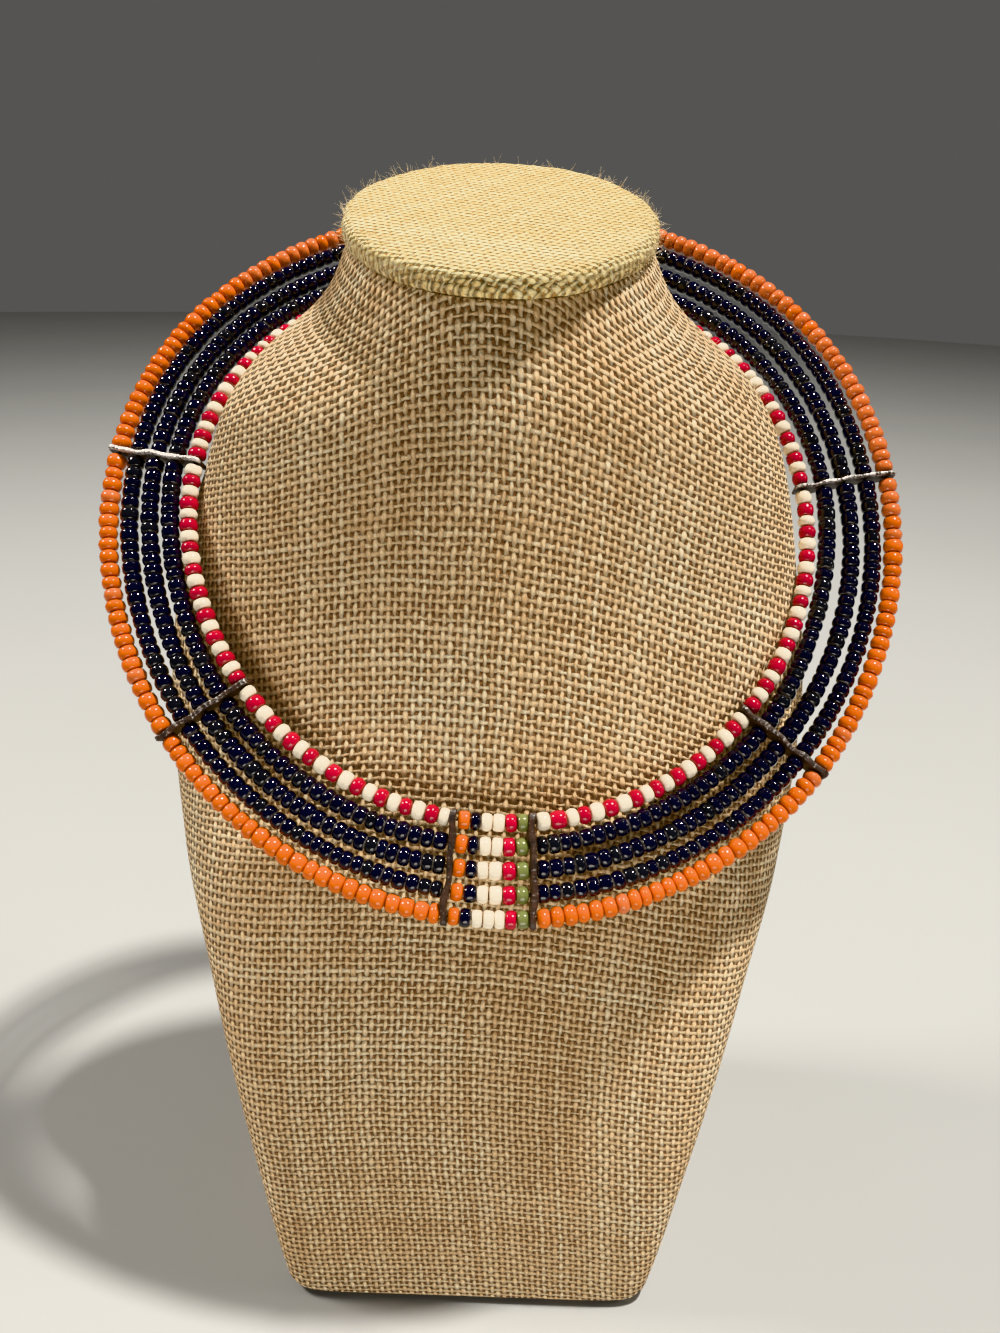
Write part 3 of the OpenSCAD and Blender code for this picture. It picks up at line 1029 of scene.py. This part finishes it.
@dataclass
class NeckCap:
    """The cloth cap on the neck, whose cloth is drawn over its rolled rim."""

    bust: NeckBust
    radius: float = 30.6
    thick: float = 4.8
    gap: float = 0.15
    sides: int = 288
    rim_round: float = 1.95
    rings: int = 10
    ring_width: float = 2.6
    rim_width: float = 5.0
    cloth_from: float = 400.0
    warp: tuple[float, float] = (-0.29, -0.957)
    weft: tuple[float, float] = (0.738, -0.675)

    def build(self) -> bpy.types.Object:
        """Turns a disc into the cap and lays the weave over its rim.

        Returns:
            The cap.
        """
        Bench.clear()
        bpy.ops.mesh.primitive_cylinder_add(
            vertices=self.sides, radius=self.radius, depth=self.thick, end_fill_type="NGON"
        )
        cap = Bench.new("cap_cover")
        with Bench.edit(cap):
            Bench.pick_edges(cap, lambda way: abs(way.z) < 0.01)
            bpy.ops.mesh.bevel(offset=self.rim_round, segments=5, profile=0.5)
            bpy.ops.mesh.select_mode(type="FACE")
            bpy.ops.mesh.select_all(action="DESELECT")
            bpy.ops.object.mode_set(mode="OBJECT")
            for face in cap.data.polygons:
                face.select = len(face.vertices) == self.sides
            bpy.ops.object.mode_set(mode="EDIT")
            for _ in range(self.rings):
                bpy.ops.mesh.inset(thickness=self.ring_width, depth=0.0)
            bpy.ops.mesh.select_all(action="SELECT")
        points = Bench.points(cap)
        flat = np.linalg.norm(points[:, :2], axis=1)
        angle = np.arctan2(points[:, 1], points[:, 0])
        drop = self.thick / 2 - points[:, 2]
        under = drop > self.thick - 0.01
        walk = np.where(under, 2 * self.radius - flat, flat) + 0.8 * drop
        wx, wy = walk * np.cos(angle) + self.cloth_from, walk * np.sin(angle) + self.cloth_from
        (ax, ay), (bx, by) = self.warp, self.weft
        Bench.lay_weave(cap, ax * wx + ay * wy, bx * wx + by * wy)
        rim = np.clip((flat - self.radius) / self.rim_width + 1, 0, 1) ** 2
        fold = 0.5 * np.sin(angle * 7 + 0.6) + 0.3 * np.sin(angle * 16 + 2.0) + 0.2 * np.sin(angle * 29)
        sag = 0.1 * np.sin(points[:, 0] * 0.21) * np.cos(points[:, 1] * 0.17)
        points[:, 2] += rim * (0.22 * fold - 0.1) + sag * (1 - rim)
        swell = 0.002 * np.sin(angle * 5 + 1.0) + 0.003 * np.sin(angle * 23 + 0.3 * drop) - 0.005
        lumps = ((61, 2.1), (97, -1.7), (38, 1.1))
        lump = sum(np.sin(angle * turns + skew * drop) for turns, skew in lumps)
        points[:, :2] *= (1 + rim * (swell + 0.0016 * lump))[:, None]
        points[:, 2] += 0.05 * rim * np.sin(angle * 53 + 1.9 * drop)
        Bench.move(cap, points)
        # Painted shade: darker down over the rolled rim towards its underside, more on some sides.
        soil = np.clip((drop - 0.3) / 1.5, 0, 1) * (0.65 + 0.35 * np.sin(angle * 3 + 2.4))
        Bench.mark(cap, "soil", np.stack([soil, soil, soil], axis=1))
        bust = self.bust
        front, back = (bust.section(np.array([1.0]), column)[0] for column in (2, 3))
        aside = (back * bust.back - front * bust.front) / 2
        lean = math.radians(bust.lean)
        top = (bust.middle[0], bust.middle[1] + aside, bust.height + aside * math.tan(lean))
        lift = Matrix.Translation((0, 0, self.gap + self.thick / 2))
        place = Matrix.Translation(top) @ Matrix.Rotation(lean, 4, "X") @ lift
        cap.data.transform(Matrix.Scale(MM, 4) @ place)
        Bench.smooth(cap, 60)
        Finish.CAP_CLOTH.on(cap)
        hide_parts("cap")
        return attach(cap, "root")


@dataclass
class LooseFibres:
    """Single fibres that stand off the cloth, thickest round the cap's rim."""

    bust: NeckBust
    rim_count: int = 1300
    body_count: int = 1300
    thick: float = 0.075
    long: tuple[float, float] = (0.9, 2.8)
    taper: float = 0.7
    bow: float = 9.0
    rooted: float = 0.1
    rim_from: float = 26.5
    body_from: float = 4.0
    body_share: float = 0.7
    sway: float = 0.9
    seed: int = 11

    def fibre(self) -> bpy.types.Object:
        """Draws one bent, tapering fibre of length and radius one.

        Returns:
            The fibre, from its root at the origin along +Z.
        """
        Bench.clear()
        bpy.ops.mesh.primitive_cylinder_add(
            vertices=3, radius=1.0, depth=1.0, end_fill_type="NGON", location=(0, 0, 0.5)
        )
        fibre = Bench.new("fibre_pattern")
        bpy.ops.object.transform_apply()
        with Bench.edit(fibre):
            Bench.pick_edges(fibre, lambda way: abs(way.z) > 0.1)
            bpy.ops.mesh.subdivide(number_cuts=3)
        points = Bench.points(fibre)
        points[:, :2] *= (1 - self.taper * points[:, 2])[:, None]
        points[:, 0] += self.bow * points[:, 2] ** 2
        Bench.move(fibre, points)
        Bench.smooth(fibre, 180)
        return fibre

    def build(self, cover: bpy.types.Object, cap: bpy.types.Object) -> bpy.types.Object:
        """Sets the fibres on the two cloths.

        Args:
            cover: The body's cloth.
            cap: The cap's cloth.

        Returns:
            The fibres as one piece.
        """
        rng = random.Random(self.seed)
        pattern = self.fibre()
        axis = Vector(self.bust.middle.tolist()) * MM
        rim = [f for f in cap.data.polygons if (f.center - axis).xy.length > self.rim_from * MM]
        floor = self.body_from * MM
        body = [f for f in cover.data.polygons if f.center.z > floor and len(f.vertices) < 5]
        places = [(rng.choice(rim), 1.0) for _ in range(self.rim_count)]
        places += [(rng.choice(body), self.body_share) for _ in range(self.body_count)]
        parts = []
        for face, share in places:
            normal = np.array(face.normal)
            z = unit(normal + np.array([rng.gauss(0, self.sway) for _ in range(3)]))
            x = unit(np.cross(z, np.array([rng.gauss(0, 1) for _ in range(3)])))
            half = self.thick / 2
            root = np.array(face.center) / MM - normal * self.rooted
            matrix = placed(x * half, np.cross(z, x) * half, z * rng.uniform(*self.long) * share, root)
            parts.append(Bench.copy(pattern, matrix))
        piece = Bench.join("loose_fibres", parts)
        Bench.discard(pattern)
        Finish.FUZZ.on(piece)
        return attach(piece, "root")


# ---------------------------------------------------------------- collar


@dataclass
class CollarForm:
    """The bent ring on which the strands and bars lie.

    A pair of bars holds a bar's angles at the outermost and the innermost strand,
    and a row of bows how far a strand bows inwards in each stretch.
    """

    width: float = 170.2
    pitch: float = 4.64
    lean: float = 48.0
    roll: float = 3.6
    turn: float = 5.0
    saddle: float = 3.4
    wave: float = 2.1
    rise: float = 2.8
    front: float = 8.0
    side: float = 10.3
    twist: float = 1.7
    oval: float = 0.009
    panel_turn: float = -6.8
    room: float = 0.94
    bars: Sequence[tuple[float, float]] = (
        (-175.0, -175.0),
        (-95.2, -93.4),
        (-51.4, -49.9),
        (-5.5, -6.2),
        (6.1, 6.9),
        (51.4, 51.2),
        (99.0, 98.7),
        (175.0, 175.0),
    )
    bows: Sequence[Sequence[float]] = (
        (0.0, 0.0, 0.0, 0.0, 0.11, 0.11, 0.0),
        (-0.32, 0.32, 0.11, 0.0, -0.11, -0.32, -0.21),
        (0.21, 0.43, 0.0, 0.0, 0.11, -0.43, 0.21),
        (0.21, 0.53, -0.11, 0.0, 0.32, 0.43, 0.43),
        (-0.11, -0.11, 0.0, 0.0, -0.21, -0.32, -0.11),
    )
    place: np.ndarray = field(default_factory=lambda: np.zeros(3))

    def __post_init__(self) -> None:
        """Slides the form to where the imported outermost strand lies."""
        low, high = (np.array(corner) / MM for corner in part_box("strand_orange"))
        angles = np.linspace(self.bar_angle(0, 0) - 1.6, self.bar_angle(7, 0) + 1.6, 721)
        line = self.row(self.point(angles, 0.0))
        self.place = (low + high) / 2 - (line.min(axis=0) + line.max(axis=0)) / 2

    def inward(self, angle: np.ndarray) -> np.ndarray:
        """Gives the way from the outermost strand to the innermost.

        Args:
            angle: Angles round the ring in degrees.

        Returns:
            One direction for each angle, in the ring's own frame.
        """
        a = np.radians(np.asarray(angle, float))
        band = self.rise + self.front * np.cos(a) - self.side * np.sin(a) - self.twist * np.cos(2 * a)
        b = np.radians(band)
        return np.stack([-np.cos(b) * np.sin(a), np.cos(b) * np.cos(a), np.sin(b)], axis=-1)

    def point(self, angle: np.ndarray, depth: np.ndarray | float) -> np.ndarray:
        """Gives points of the band.

        Args:
            angle: Angles round the ring in degrees.
            depth: The distance inwards from the outermost strand.

        Returns:
            One point for each angle, in the ring's own frame.
        """
        a = np.radians(np.asarray(angle, float))
        r = self.width / 2 * (1 + self.oval * np.cos(2 * a))
        h = -self.saddle * np.cos(2 * a) + self.wave * np.cos(3 * a)
        ring = np.stack([r * np.sin(a), -r * np.cos(a), h], axis=-1)
        return ring + np.asarray(depth, float)[..., None] * self.inward(angle)

    def row(self, vectors: np.ndarray) -> np.ndarray:
        """Turns vectors from the ring's frame to the model's."""
        spin = Euler(np.radians((self.lean, -self.roll, self.turn)))
        return vectors @ np.array(spin.to_matrix()).T

    def at(self, angle: np.ndarray, depth: np.ndarray | float) -> np.ndarray:
        """Gives points of the band in the model's frame, in millimetres."""
        return self.row(self.point(angle, depth)) + self.place

    def bar_angle(self, bar: int, strand: float) -> float:
        """Gives the angle at which a bar crosses a strand."""
        outer, inner = self.bars[bar]
        return self.panel_turn + outer + (inner - outer) * strand / 4

    def degrees(self, length: float, strand: float) -> float:
        """Turns a length along a strand into degrees."""
        return math.degrees(length / (self.width / 2 - strand * self.pitch))

    def line(
        self, strand: int, stretch: int, gap: float, count: int = 81
    ) -> tuple[np.ndarray, np.ndarray]:
        """Follows a strand from one bar to the next.

        Args:
            strand: The strand's number from the outside.
            stretch: The stretch's number from the left end bar.
            gap: The distance from a bar's middle at which it starts and ends.
            count: The number of points.

        Returns:
            The angles and the points in millimetres.
        """
        edge = self.degrees(gap, strand)
        share = np.linspace(0, 1, count)
        first = self.bar_angle(stretch, strand) + edge
        last = self.bar_angle(stretch + 1, strand) - edge
        angle = first + (last - first) * share
        bow = self.bows[strand][stretch] * self.room * np.sin(math.pi * share)
        return angle, self.at(angle, strand * self.pitch + bow)

    def whole(self, strand: int, count: int) -> np.ndarray:
        """Follows a strand from end bar to end bar, with a count of points in each stretch."""
        runs = [self.line(strand, stretch, 0.0, count)[1] for stretch in range(len(self.bars) - 1)]
        return np.concatenate([*(run[:-1] for run in runs), runs[-1][-1:]])


class Glaze(Enum):
    """Which of a glass's two colours a strand's beads take."""

    SINGLE = "one colour"
    DARKER_BEHIND = "more of the second colour towards the back"
    IN_TURN = "the two colours in turn"


@dataclass
class BeadPattern:
    """The bead shapes that are modelled once and strung on the collar's form."""

    form: CollarForm
    softness: Sequence[float]
    sides: int = 12
    tilt: float = 0.05
    narrowest: float = 0.97
    shapes: list[bpy.types.Object] = field(default_factory=list)

    def build(self) -> BeadPattern:
        """Rounds a few short drums into beads of radius and length one.

        Returns:
            This pattern, with its shapes.
        """
        for soft in self.softness:
            Bench.clear()
            bpy.ops.mesh.primitive_cylinder_add(
                vertices=self.sides, radius=1.0, depth=1.0, end_fill_type="NGON"
            )
            bead = Bench.new("bead_pattern")
            with Bench.edit(bead):
                Bench.pick_edges(bead, lambda way: abs(way.z) < 0.01)
                bpy.ops.mesh.bevel(offset=soft, segments=2, profile=0.5)
            Bench.smooth(bead, 180)
            self.shapes.append(bead)
        return self

    def string(
        self,
        rng: random.Random,
        run: tuple[np.ndarray, np.ndarray],
        count: int,
        uneven: float,
        reach: float,
        draw: Callable[[int, float, float], Look],
    ) -> list[bpy.types.Object]:
        """Strings beads along one run of wire.

        Args:
            rng: The strand's own dice.
            run: The run's angles and points.
            count: The number of beads.
            uneven: How much their lengths vary.
            reach: How far before and after a bead the wire's direction is read.
            draw: Gives a bead's size and marks from its number, angle and length.

        Returns:
            The beads in order.
        """
        angle, line = run
        way = walked(line)
        lengths = np.array([1 + rng.gauss(0, uneven) for _ in range(count)])
        ends = np.concatenate([[0.0], np.cumsum(lengths / lengths.sum())]) * way[-1]
        beads = []
        for number in range(count):
            middle = (ends[number] + ends[number + 1]) / 2
            before, centre, after = (
                np.array([np.interp(middle + step, way, line[:, axis]) for axis in range(3)])
                for step in (-reach, 0, reach)
            )
            here = float(np.interp(middle, way, angle))
            inward = self.form.row(self.form.inward(np.array(here)))
            look = draw(number, here, ends[number + 1] - ends[number])
            beads.append(self.stamp(rng, centre, unit(after - before), inward, look))
        return beads

    def stamp(
        self,
        rng: random.Random,
        centre: np.ndarray,
        axis: np.ndarray,
        inward: np.ndarray,
        look: Look,
    ) -> bpy.types.Object:
        """Copies one bead to its place.

        Args:
            rng: The strand's own dice.
            centre: The bead's middle in millimetres.
            axis: The wire's direction there.
            inward: The direction to the next strand.
            look: Its diameter and length, then its colour choice and shade.

        Returns:
            The bead.
        """
        (diameter, length), marks = look
        z = unit(axis + np.array([rng.gauss(0, self.tilt) for _ in range(3)]))
        x = unit(inward - (inward @ z) * z)
        y = np.cross(z, x)
        spin = rng.uniform(0, math.tau)
        across = x * math.cos(spin) + y * math.sin(spin)
        up = y * math.cos(spin) - x * math.sin(spin)
        half = diameter / 2
        matrix = placed(across * half * rng.uniform(self.narrowest, 1.0), up * half, z * length, centre)
        shape = rng.choice(self.shapes)
        along = Bench.points(shape)[:, 2] * 2
        bead = Bench.copy(shape, matrix)
        Bench.mark(bead, "bead", np.stack(np.broadcast_arrays(*marks, along), axis=1))
        return bead


@dataclass
class Strand:
    """One strand of beads between the bars."""

    form: CollarForm
    number: int
    pattern: BeadPattern
    node: str
    slot: str
    finish: Finish
    diameter: float
    length: float
    glaze: Glaze
    gap: float = 0.77
    panel: int = 3
    uneven: float = 0.1
    reach: float = 0.6
    size_vary: float = 0.035
    widest: float = 1.03
    fill: float = 0.985
    second_odds: float = 0.2
    behind_odds: tuple[float, float] = (0.04, 0.88)
    behind_from: tuple[tuple[float, float], ...] = ((112, 60), (86, 8))
    seed: int = 40
    orange_counts: Mapping[int, int] = field(default_factory=lambda: {1: 23, 2: 24, 4: 25, 5: 25})
    extra_white: tuple[int, int] = (6, 10)

    def count(self, stretch: int, length: float) -> int:
        """Counts the beads of a stretch.

        Args:
            stretch: The stretch's number.
            length: Its length.

        Returns:
            The count, such that strands in turn have white beside the front
            bars and on the same sides of the others as the real one.
        """
        if self.glaze is Glaze.DARKER_BEHIND and stretch in self.orange_counts:
            return self.orange_counts[stretch]
        if self.glaze is Glaze.IN_TURN:
            odd = int(abs(stretch - self.panel) == 1)
            return round((length / self.length - odd) / 2) * 2 + odd
        return round(length / self.length)

    def kind(self, rng: random.Random, order: int, place: tuple[int, int], angle: float) -> float:
        """Chooses a bead's colour.

        Args:
            rng: The strand's own dice.
            order: The bead's number counted from the front panel.
            place: Its stretch and its number there.
            angle: Its angle round the ring from the panel.

        Returns:
            Nought for the glass's first colour and one for its second.
        """
        if self.glaze is Glaze.IN_TURN:
            return 0.0 if place == self.extra_white else float(order % 2)
        if self.glaze is Glaze.DARKER_BEHIND:
            start, span = self.behind_from[angle > 0]
            least, more = self.behind_odds
            odds = least + more * min(max((abs(angle) - start) / span, 0), 1)
            return float(rng.random() < odds)
        return float(rng.random() < self.second_odds)

    def build(self) -> bpy.types.Object:
        """Strings the beads of every stretch but the panel's.

        Returns:
            The strand's beads as one piece.
        """
        rng = random.Random(self.seed + self.number)
        beads = []
        left = range(self.panel - 1, -1, -1)
        right = range(self.panel + 1, len(self.form.bars) - 1)
        for side, stretches in ((-1, left), (1, right)):
            order = 0
            for stretch in stretches:
                made = self.fill_stretch(rng, stretch, side, order)
                order += len(made)
                beads += made
        piece = Bench.join(self.node.replace("strand", "beads"), beads)
        self.finish.on(piece)
        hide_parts(self.node)
        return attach(piece, "root")

    def fill_stretch(
        self, rng: random.Random, stretch: int, side: int, order: int
    ) -> list[bpy.types.Object]:
        """Strings one stretch, counted away from the front panel.

        Args:
            rng: The strand's own dice.
            stretch: The stretch's number.
            side: Minus one left of the panel and one right of it.
            order: The number of the first bead.

        Returns:
            The beads.
        """
        angle, line = (row[::side] for row in self.form.line(self.number, stretch, self.gap))

        def draw(number: int, here: float, room: float) -> Look:
            """Draws a bead's size and marks.

            Args:
                number: Its number in the stretch.
                here: Its angle round the ring.
                room: Its length on the wire.

            Returns:
                Its diameter and length, then its colour choice and shade.
            """
            size = self.diameter * (1 + rng.gauss(0, self.size_vary)) * self.fill
            colour = self.kind(rng, order + number, (stretch, number), here - self.form.panel_turn)
            marks = (colour, rng.random())
            return (min(size, self.diameter * self.widest), room * self.fill), marks

        count = self.count(stretch, walked(line)[-1])
        return self.pattern.string(rng, (angle, line), count, self.uneven, self.reach, draw)


@dataclass
class FrontPanel:
    """The striped panel of short rows between the two front bars."""

    form: CollarForm
    pattern: BeadPattern
    diameter: float = 3.8
    stretch: int = 3
    gap: float = 0.8
    uneven: float = 0.06
    reach: float = 0.5
    fill: float = 0.96
    sizes: tuple[float, float] = (0.94, 1.01)
    shades: float = 0.9
    seed: int = 7
    rows: Sequence[str] = ("onwwwrg", "onwwrg", "onwwrg", "onwwrg", "onwwrg")

    def build(self) -> list[bpy.types.Object]:
        """Strings the panel's rows and joins the beads of each colour.

        Returns:
            One piece for each colour.
        """
        rng = random.Random(self.seed)

        def draw(_number: int, _here: float, room: float) -> Look:
            """Draws a bead's diameter, then its shade, and takes its first colour."""
            size = (self.diameter * rng.uniform(*self.sizes), room * self.fill)
            return size, (0.0, rng.random() * self.shades)

        colours = {
            "o": ("orange", Finish.ORANGE),
            "n": ("navy", Finish.NAVY),
            "w": ("white", Finish.WHITE),
            "r": ("red", Finish.RED),
            "g": ("green", Finish.GREEN),
        }
        found: dict[str, list[bpy.types.Object]] = {key: [] for key in colours}
        for strand, letters in enumerate(self.rows):
            run = self.form.line(strand, self.stretch, self.gap)
            beads = self.pattern.string(rng, run, len(letters), self.uneven, self.reach, draw)
            for letter, bead in zip(letters, beads):
                found[letter].append(bead)
        pieces = []
        for key, (name, finish) in colours.items():
            piece = Bench.join(f"panel_{name}", found[key])
            finish.on(piece)
            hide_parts(f"panel_{name}_beads")
            pieces.append(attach(piece, "root"))
        return pieces


@dataclass
class Bars:
    """The eight hide strips on edge that keep the strands apart.

    A row of names holds a bar's name, how much its edge shines and its thickness
    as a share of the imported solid's.
    """

    form: CollarForm
    thick: float = 1.3
    tall: float = 4.7
    over: float = 1.9
    cuts: tuple[int, int] = (30, 3)
    round_off: float = 0.3
    sway: float = 0.3
    seed: int = 90
    names: Sequence[tuple[str, float, float]] = (
        ("end_left", 0.1, 0.85),
        ("side_left", 1.0, 0.66),
        ("lower_left", 0.62, 0.8),
        ("front_left", 0.4, 0.95),
        ("front_right", 0.45, 0.95),
        ("lower_right", 0.55, 0.85),
        ("side_right", 0.82, 0.5),
        ("end_right", 0.1, 0.85),
    )

    def build(self) -> list[bpy.types.Object]:
        """Makes every bar."""
        return [self.bar(number, *facts) for number, facts in enumerate(self.names)]

    def bar(self, number: int, name: str, shine: float, slim: float) -> bpy.types.Object:
        """Cuts, rounds and warps one strip.

        Args:
            number: The bar's number from the left end.
            name: Its place on the collar.
            shine: How much its edge shines.
            slim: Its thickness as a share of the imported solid's.

        Returns:
            The bar.
        """
        form = self.form
        outer, inner = form.bar_angle(number, 0), form.bar_angle(number, 4)
        start = form.at(np.array(outer), 0.0)
        end = form.at(np.array(inner), 4 * form.pitch)
        span = float(np.linalg.norm(end - start))
        x = unit(end - start)
        middle = form.bar_angle(number, 2)
        pair = form.at(np.array([middle - 0.5, middle + 0.5]), 2 * form.pitch)
        run = unit(pair[1] - pair[0])
        z = unit(run - (run @ x) * x)
        y = np.cross(z, x)
        long = span + 2 * self.over
        Bench.clear()
        bpy.ops.mesh.primitive_cube_add(size=1.0)
        strip = Bench.new(f"strip_{name}")
        strip.data.transform(Matrix.Diagonal((long, self.tall, self.thick, 1.0)))
        with Bench.edit(strip):
            Bench.pick_edges(strip, lambda way: abs(way.x) > 0.1)
            bpy.ops.mesh.subdivide(number_cuts=self.cuts[0])
            Bench.pick_edges(strip, lambda way: abs(way.y) > 0.1)
            bpy.ops.mesh.subdivide(number_cuts=self.cuts[1])
        Bench.soften(strip, self.round_off, 3)
        points = Bench.points(strip)
        along = points[:, 0] / long
        edge = points[:, 1] / self.tall + 0.5
        rng = random.Random(self.seed + number)
        waves = [(rng.uniform(0.08, 0.2), rng.uniform(2, 9), rng.uniform(0, 6)) for _ in range(3)]
        drift = sum(s * np.sin(f * along * math.pi + p) for s, f, p in waves)
        drift = drift - np.mean(drift)
        thin = 1 - 0.22 * np.sin(along * 19 + rng.uniform(0, 6)) * np.sin(along * 7)
        round_end = np.clip((np.abs(along) - 0.44) / 0.06, 0, 1) ** 2
        points[:, 2] = points[:, 2] * thin * slim + np.clip(drift, -self.sway, self.sway)
        points[:, 1] *= 1 - 0.3 * round_end
        points[:, 1] += 0.06 * np.sin(along * 31 + rng.uniform(0, 6))
        Bench.move(strip, points)
        strip.data.transform(placed(x, y, z, (start + end) / 2))
        Bench.mark(strip, "edge", np.stack(np.broadcast_arrays(edge, along * long * 0.1, shine), axis=1))
        Bench.smooth(strip, 50)
        Finish.HIDE.on(strip)
        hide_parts(f"bar_{name}")
        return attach(strip, "root")


@dataclass
class Wires:
    """The five wires through the beads and their knots behind the end bars."""

    form: CollarForm
    thick: float = 0.8
    knot: float = 1.7
    turns: float = 2.2
    start: float = 1.0
    reach: float = 0.75
    points: int = 17

    def build(self) -> bpy.types.Object:
        """Draws the wires from end to end.

        Returns:
            The wires as one piece.
        """
        parts = []
        for strand in range(len(self.form.bows)):
            line = self.form.whole(strand, self.points)
            ends = [self.coil(line[1], line[0]), self.coil(line[-2], line[-1])]
            path = np.concatenate([ends[0][::-1], line[1:-1], ends[1]])
            parts.append(Bench.sweep(f"wire_{strand}", path * MM, self.thick / 2 * MM, 1))
        piece = Bench.join("wires", parts)
        Bench.smooth(piece, 60)
        Finish.WIRE.on(piece)
        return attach(piece, "root")

    def coil(self, before: np.ndarray, end: np.ndarray) -> np.ndarray:
        """Winds a wire's end into a small knot outside its bar.

        Args:
            before: The point of the wire before its end.
            end: Its last point, in the end bar's middle.

        Returns:
            The wound points from the bar outwards.
        """
        out = unit(end - before)
        side = unit(np.cross(out, np.array([0.0, 0.0, 1.0])))
        up = np.cross(out, side)
        turns = np.linspace(0, self.turns, 23)
        radius = (self.knot - self.thick) / 2 * np.clip(turns * 3, 0, 1)
        away = self.start + turns / self.turns * self.reach
        circle = np.cos(turns * math.tau)[:, None] * side + np.sin(turns * math.tau)[:, None] * up
        return end + out * away[:, None] + circle * radius[:, None]


# ---------------------------------------------------------------- studio


@dataclass
class Studio:
    """Floor, lights and the photograph's camera."""

    bust: NeckBust
    pitch: float = 24.0
    roll: float = 2.0
    lens: float = 27.06
    sensor: float = 36.0
    clip_start: float = 0.01
    stand: tuple[float, float, float] = (2.8, -212.0, 238.0)
    floor_radius: float = 2.6
    floor_drop: float = 0.0002
    aim: float = 0.15
    warm: Colour = (1.0, 0.95, 0.88)
    sky: Colour = (1.0, 0.985, 0.95)
    sky_strength: float = 0.13

    def camera(self) -> None:
        """Stands the camera where the photograph was taken."""
        data = bpy.data.cameras.new("photo_camera")
        data.lens = self.lens
        data.sensor_width = self.sensor
        data.clip_start = self.clip_start
        camera = bpy.data.objects.new("photo_camera", data)
        bpy.context.scene.collection.objects.link(camera)
        place = (np.array(self.stand) + self.bust.middle) * MM
        tilt = Matrix.Rotation(math.radians(90 - self.pitch), 4, "X")
        turn = Matrix.Rotation(math.radians(self.roll), 4, "Z")
        camera.matrix_world = Matrix.Translation(place.tolist()) @ tilt @ turn
        bpy.context.scene.camera = camera

    def floor(self) -> None:
        """Lays the round pale floor, just under the dark pad."""
        Bench.clear()
        bpy.ops.mesh.primitive_circle_add(vertices=96, radius=self.floor_radius, fill_type="NGON")
        floor = Bench.new("floor")
        floor.data.transform(Matrix.Translation((0, 0, -self.floor_drop)))
        Finish.BOARD.on(floor)

    def lamp(self, name: str, place: Sequence[float], size: float, power: float, tone: Colour) -> None:
        """Hangs a round lamp that faces the collar.

        Args:
            name: The lamp's name.
            place: Where it hangs, in metres.
            size: Its width in metres.
            power: Its power in watts.
            tone: Its light's colour.
        """
        data = bpy.data.lights.new(name, "AREA")
        data.shape = "DISK"
        data.size = size
        data.energy = power
        data.color = tone
        lamp = bpy.data.objects.new(name, data)
        bpy.context.scene.collection.objects.link(lamp)
        turn = (Vector(place) - Vector((0.0, 0.0, self.aim))).to_track_quat("Z", "Y").to_matrix()
        lamp.matrix_world = Matrix.Translation(place) @ turn.to_4x4()

    def lights(self) -> None:
        """Hangs the small key lamp, a lamp at each side, a low one and a dim sky."""
        self.lamp("key", (0.456, -0.005, 1.59), 0.1, 41.0, (1.0, 0.955, 0.88))
        self.lamp("left", (-0.9, 0.1, 1.0), 0.25, 12.5, self.warm)
        self.lamp("right", (1.1, -0.1, 0.8), 0.25, 2.0, self.warm)
        self.lamp("low", (0.02, -0.27, 0.03), 0.2, 0.5, (1.0, 0.94, 0.86))
        world = bpy.data.worlds.new("studio_sky")
        bpy.context.scene.world = world
        world.use_nodes = True
        sky = world.node_tree.nodes["Background"]
        sky.inputs["Color"].default_value = (*self.sky, 1.0)
        sky.inputs["Strength"].default_value = self.sky_strength
        bpy.context.scene.view_settings.view_transform = "Khronos PBR Neutral"


def main() -> None:
    """Builds every sub-assembly in order and reports it."""
    logging.basicConfig(level=logging.INFO, format="%(message)s")
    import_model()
    bust = NeckBust()
    studio = Studio(bust)
    studio.camera()
    studio.floor()
    studio.lights()
    form = CollarForm()
    inner = form.whole(len(form.bows) - 1, 41)
    pieces = [bust.build(inner), bust.pad(), NeckCap(bust).build()]
    pieces.append(LooseFibres(bust).build(pieces[0], pieces[2]))
    plump = BeadPattern(form, (0.44, 0.38, 0.46)).build()
    squat = BeadPattern(form, (0.34, 0.28, 0.38)).build()
    strands = (
        (plump, "strand_orange", "orange_beads", Finish.ORANGE, 4.15, 2.75, Glaze.DARKER_BEHIND),
        (squat, "strand_navy_outer", "navy_beads", Finish.NAVY, 3.8, 2.35, Glaze.SINGLE),
        (squat, "strand_navy_middle", "navy_beads", Finish.NAVY, 3.95, 2.35, Glaze.SINGLE),
        (squat, "strand_navy_inner", "navy_beads", Finish.NAVY, 3.95, 2.35, Glaze.SINGLE),
        (plump, "strand_red_white", "red_white_beads", Finish.RED_WHITE, 3.8, 2.57, Glaze.IN_TURN),
    )
    pieces += [Strand(form, number, *facts).build() for number, facts in enumerate(strands)]
    pieces += FrontPanel(form, squat).build()
    pieces += Bars(form).build()
    pieces.append(Wires(form).build())
    Bench.discard(*plump.shapes, *squat.shapes)
    Finish.STEEL.on(bpy.data.objects["clasp"])
    for piece in pieces:
        LOG.info("%s: %d faces", piece.name, len(piece.data.polygons))


if __name__ == "__main__":
    main()
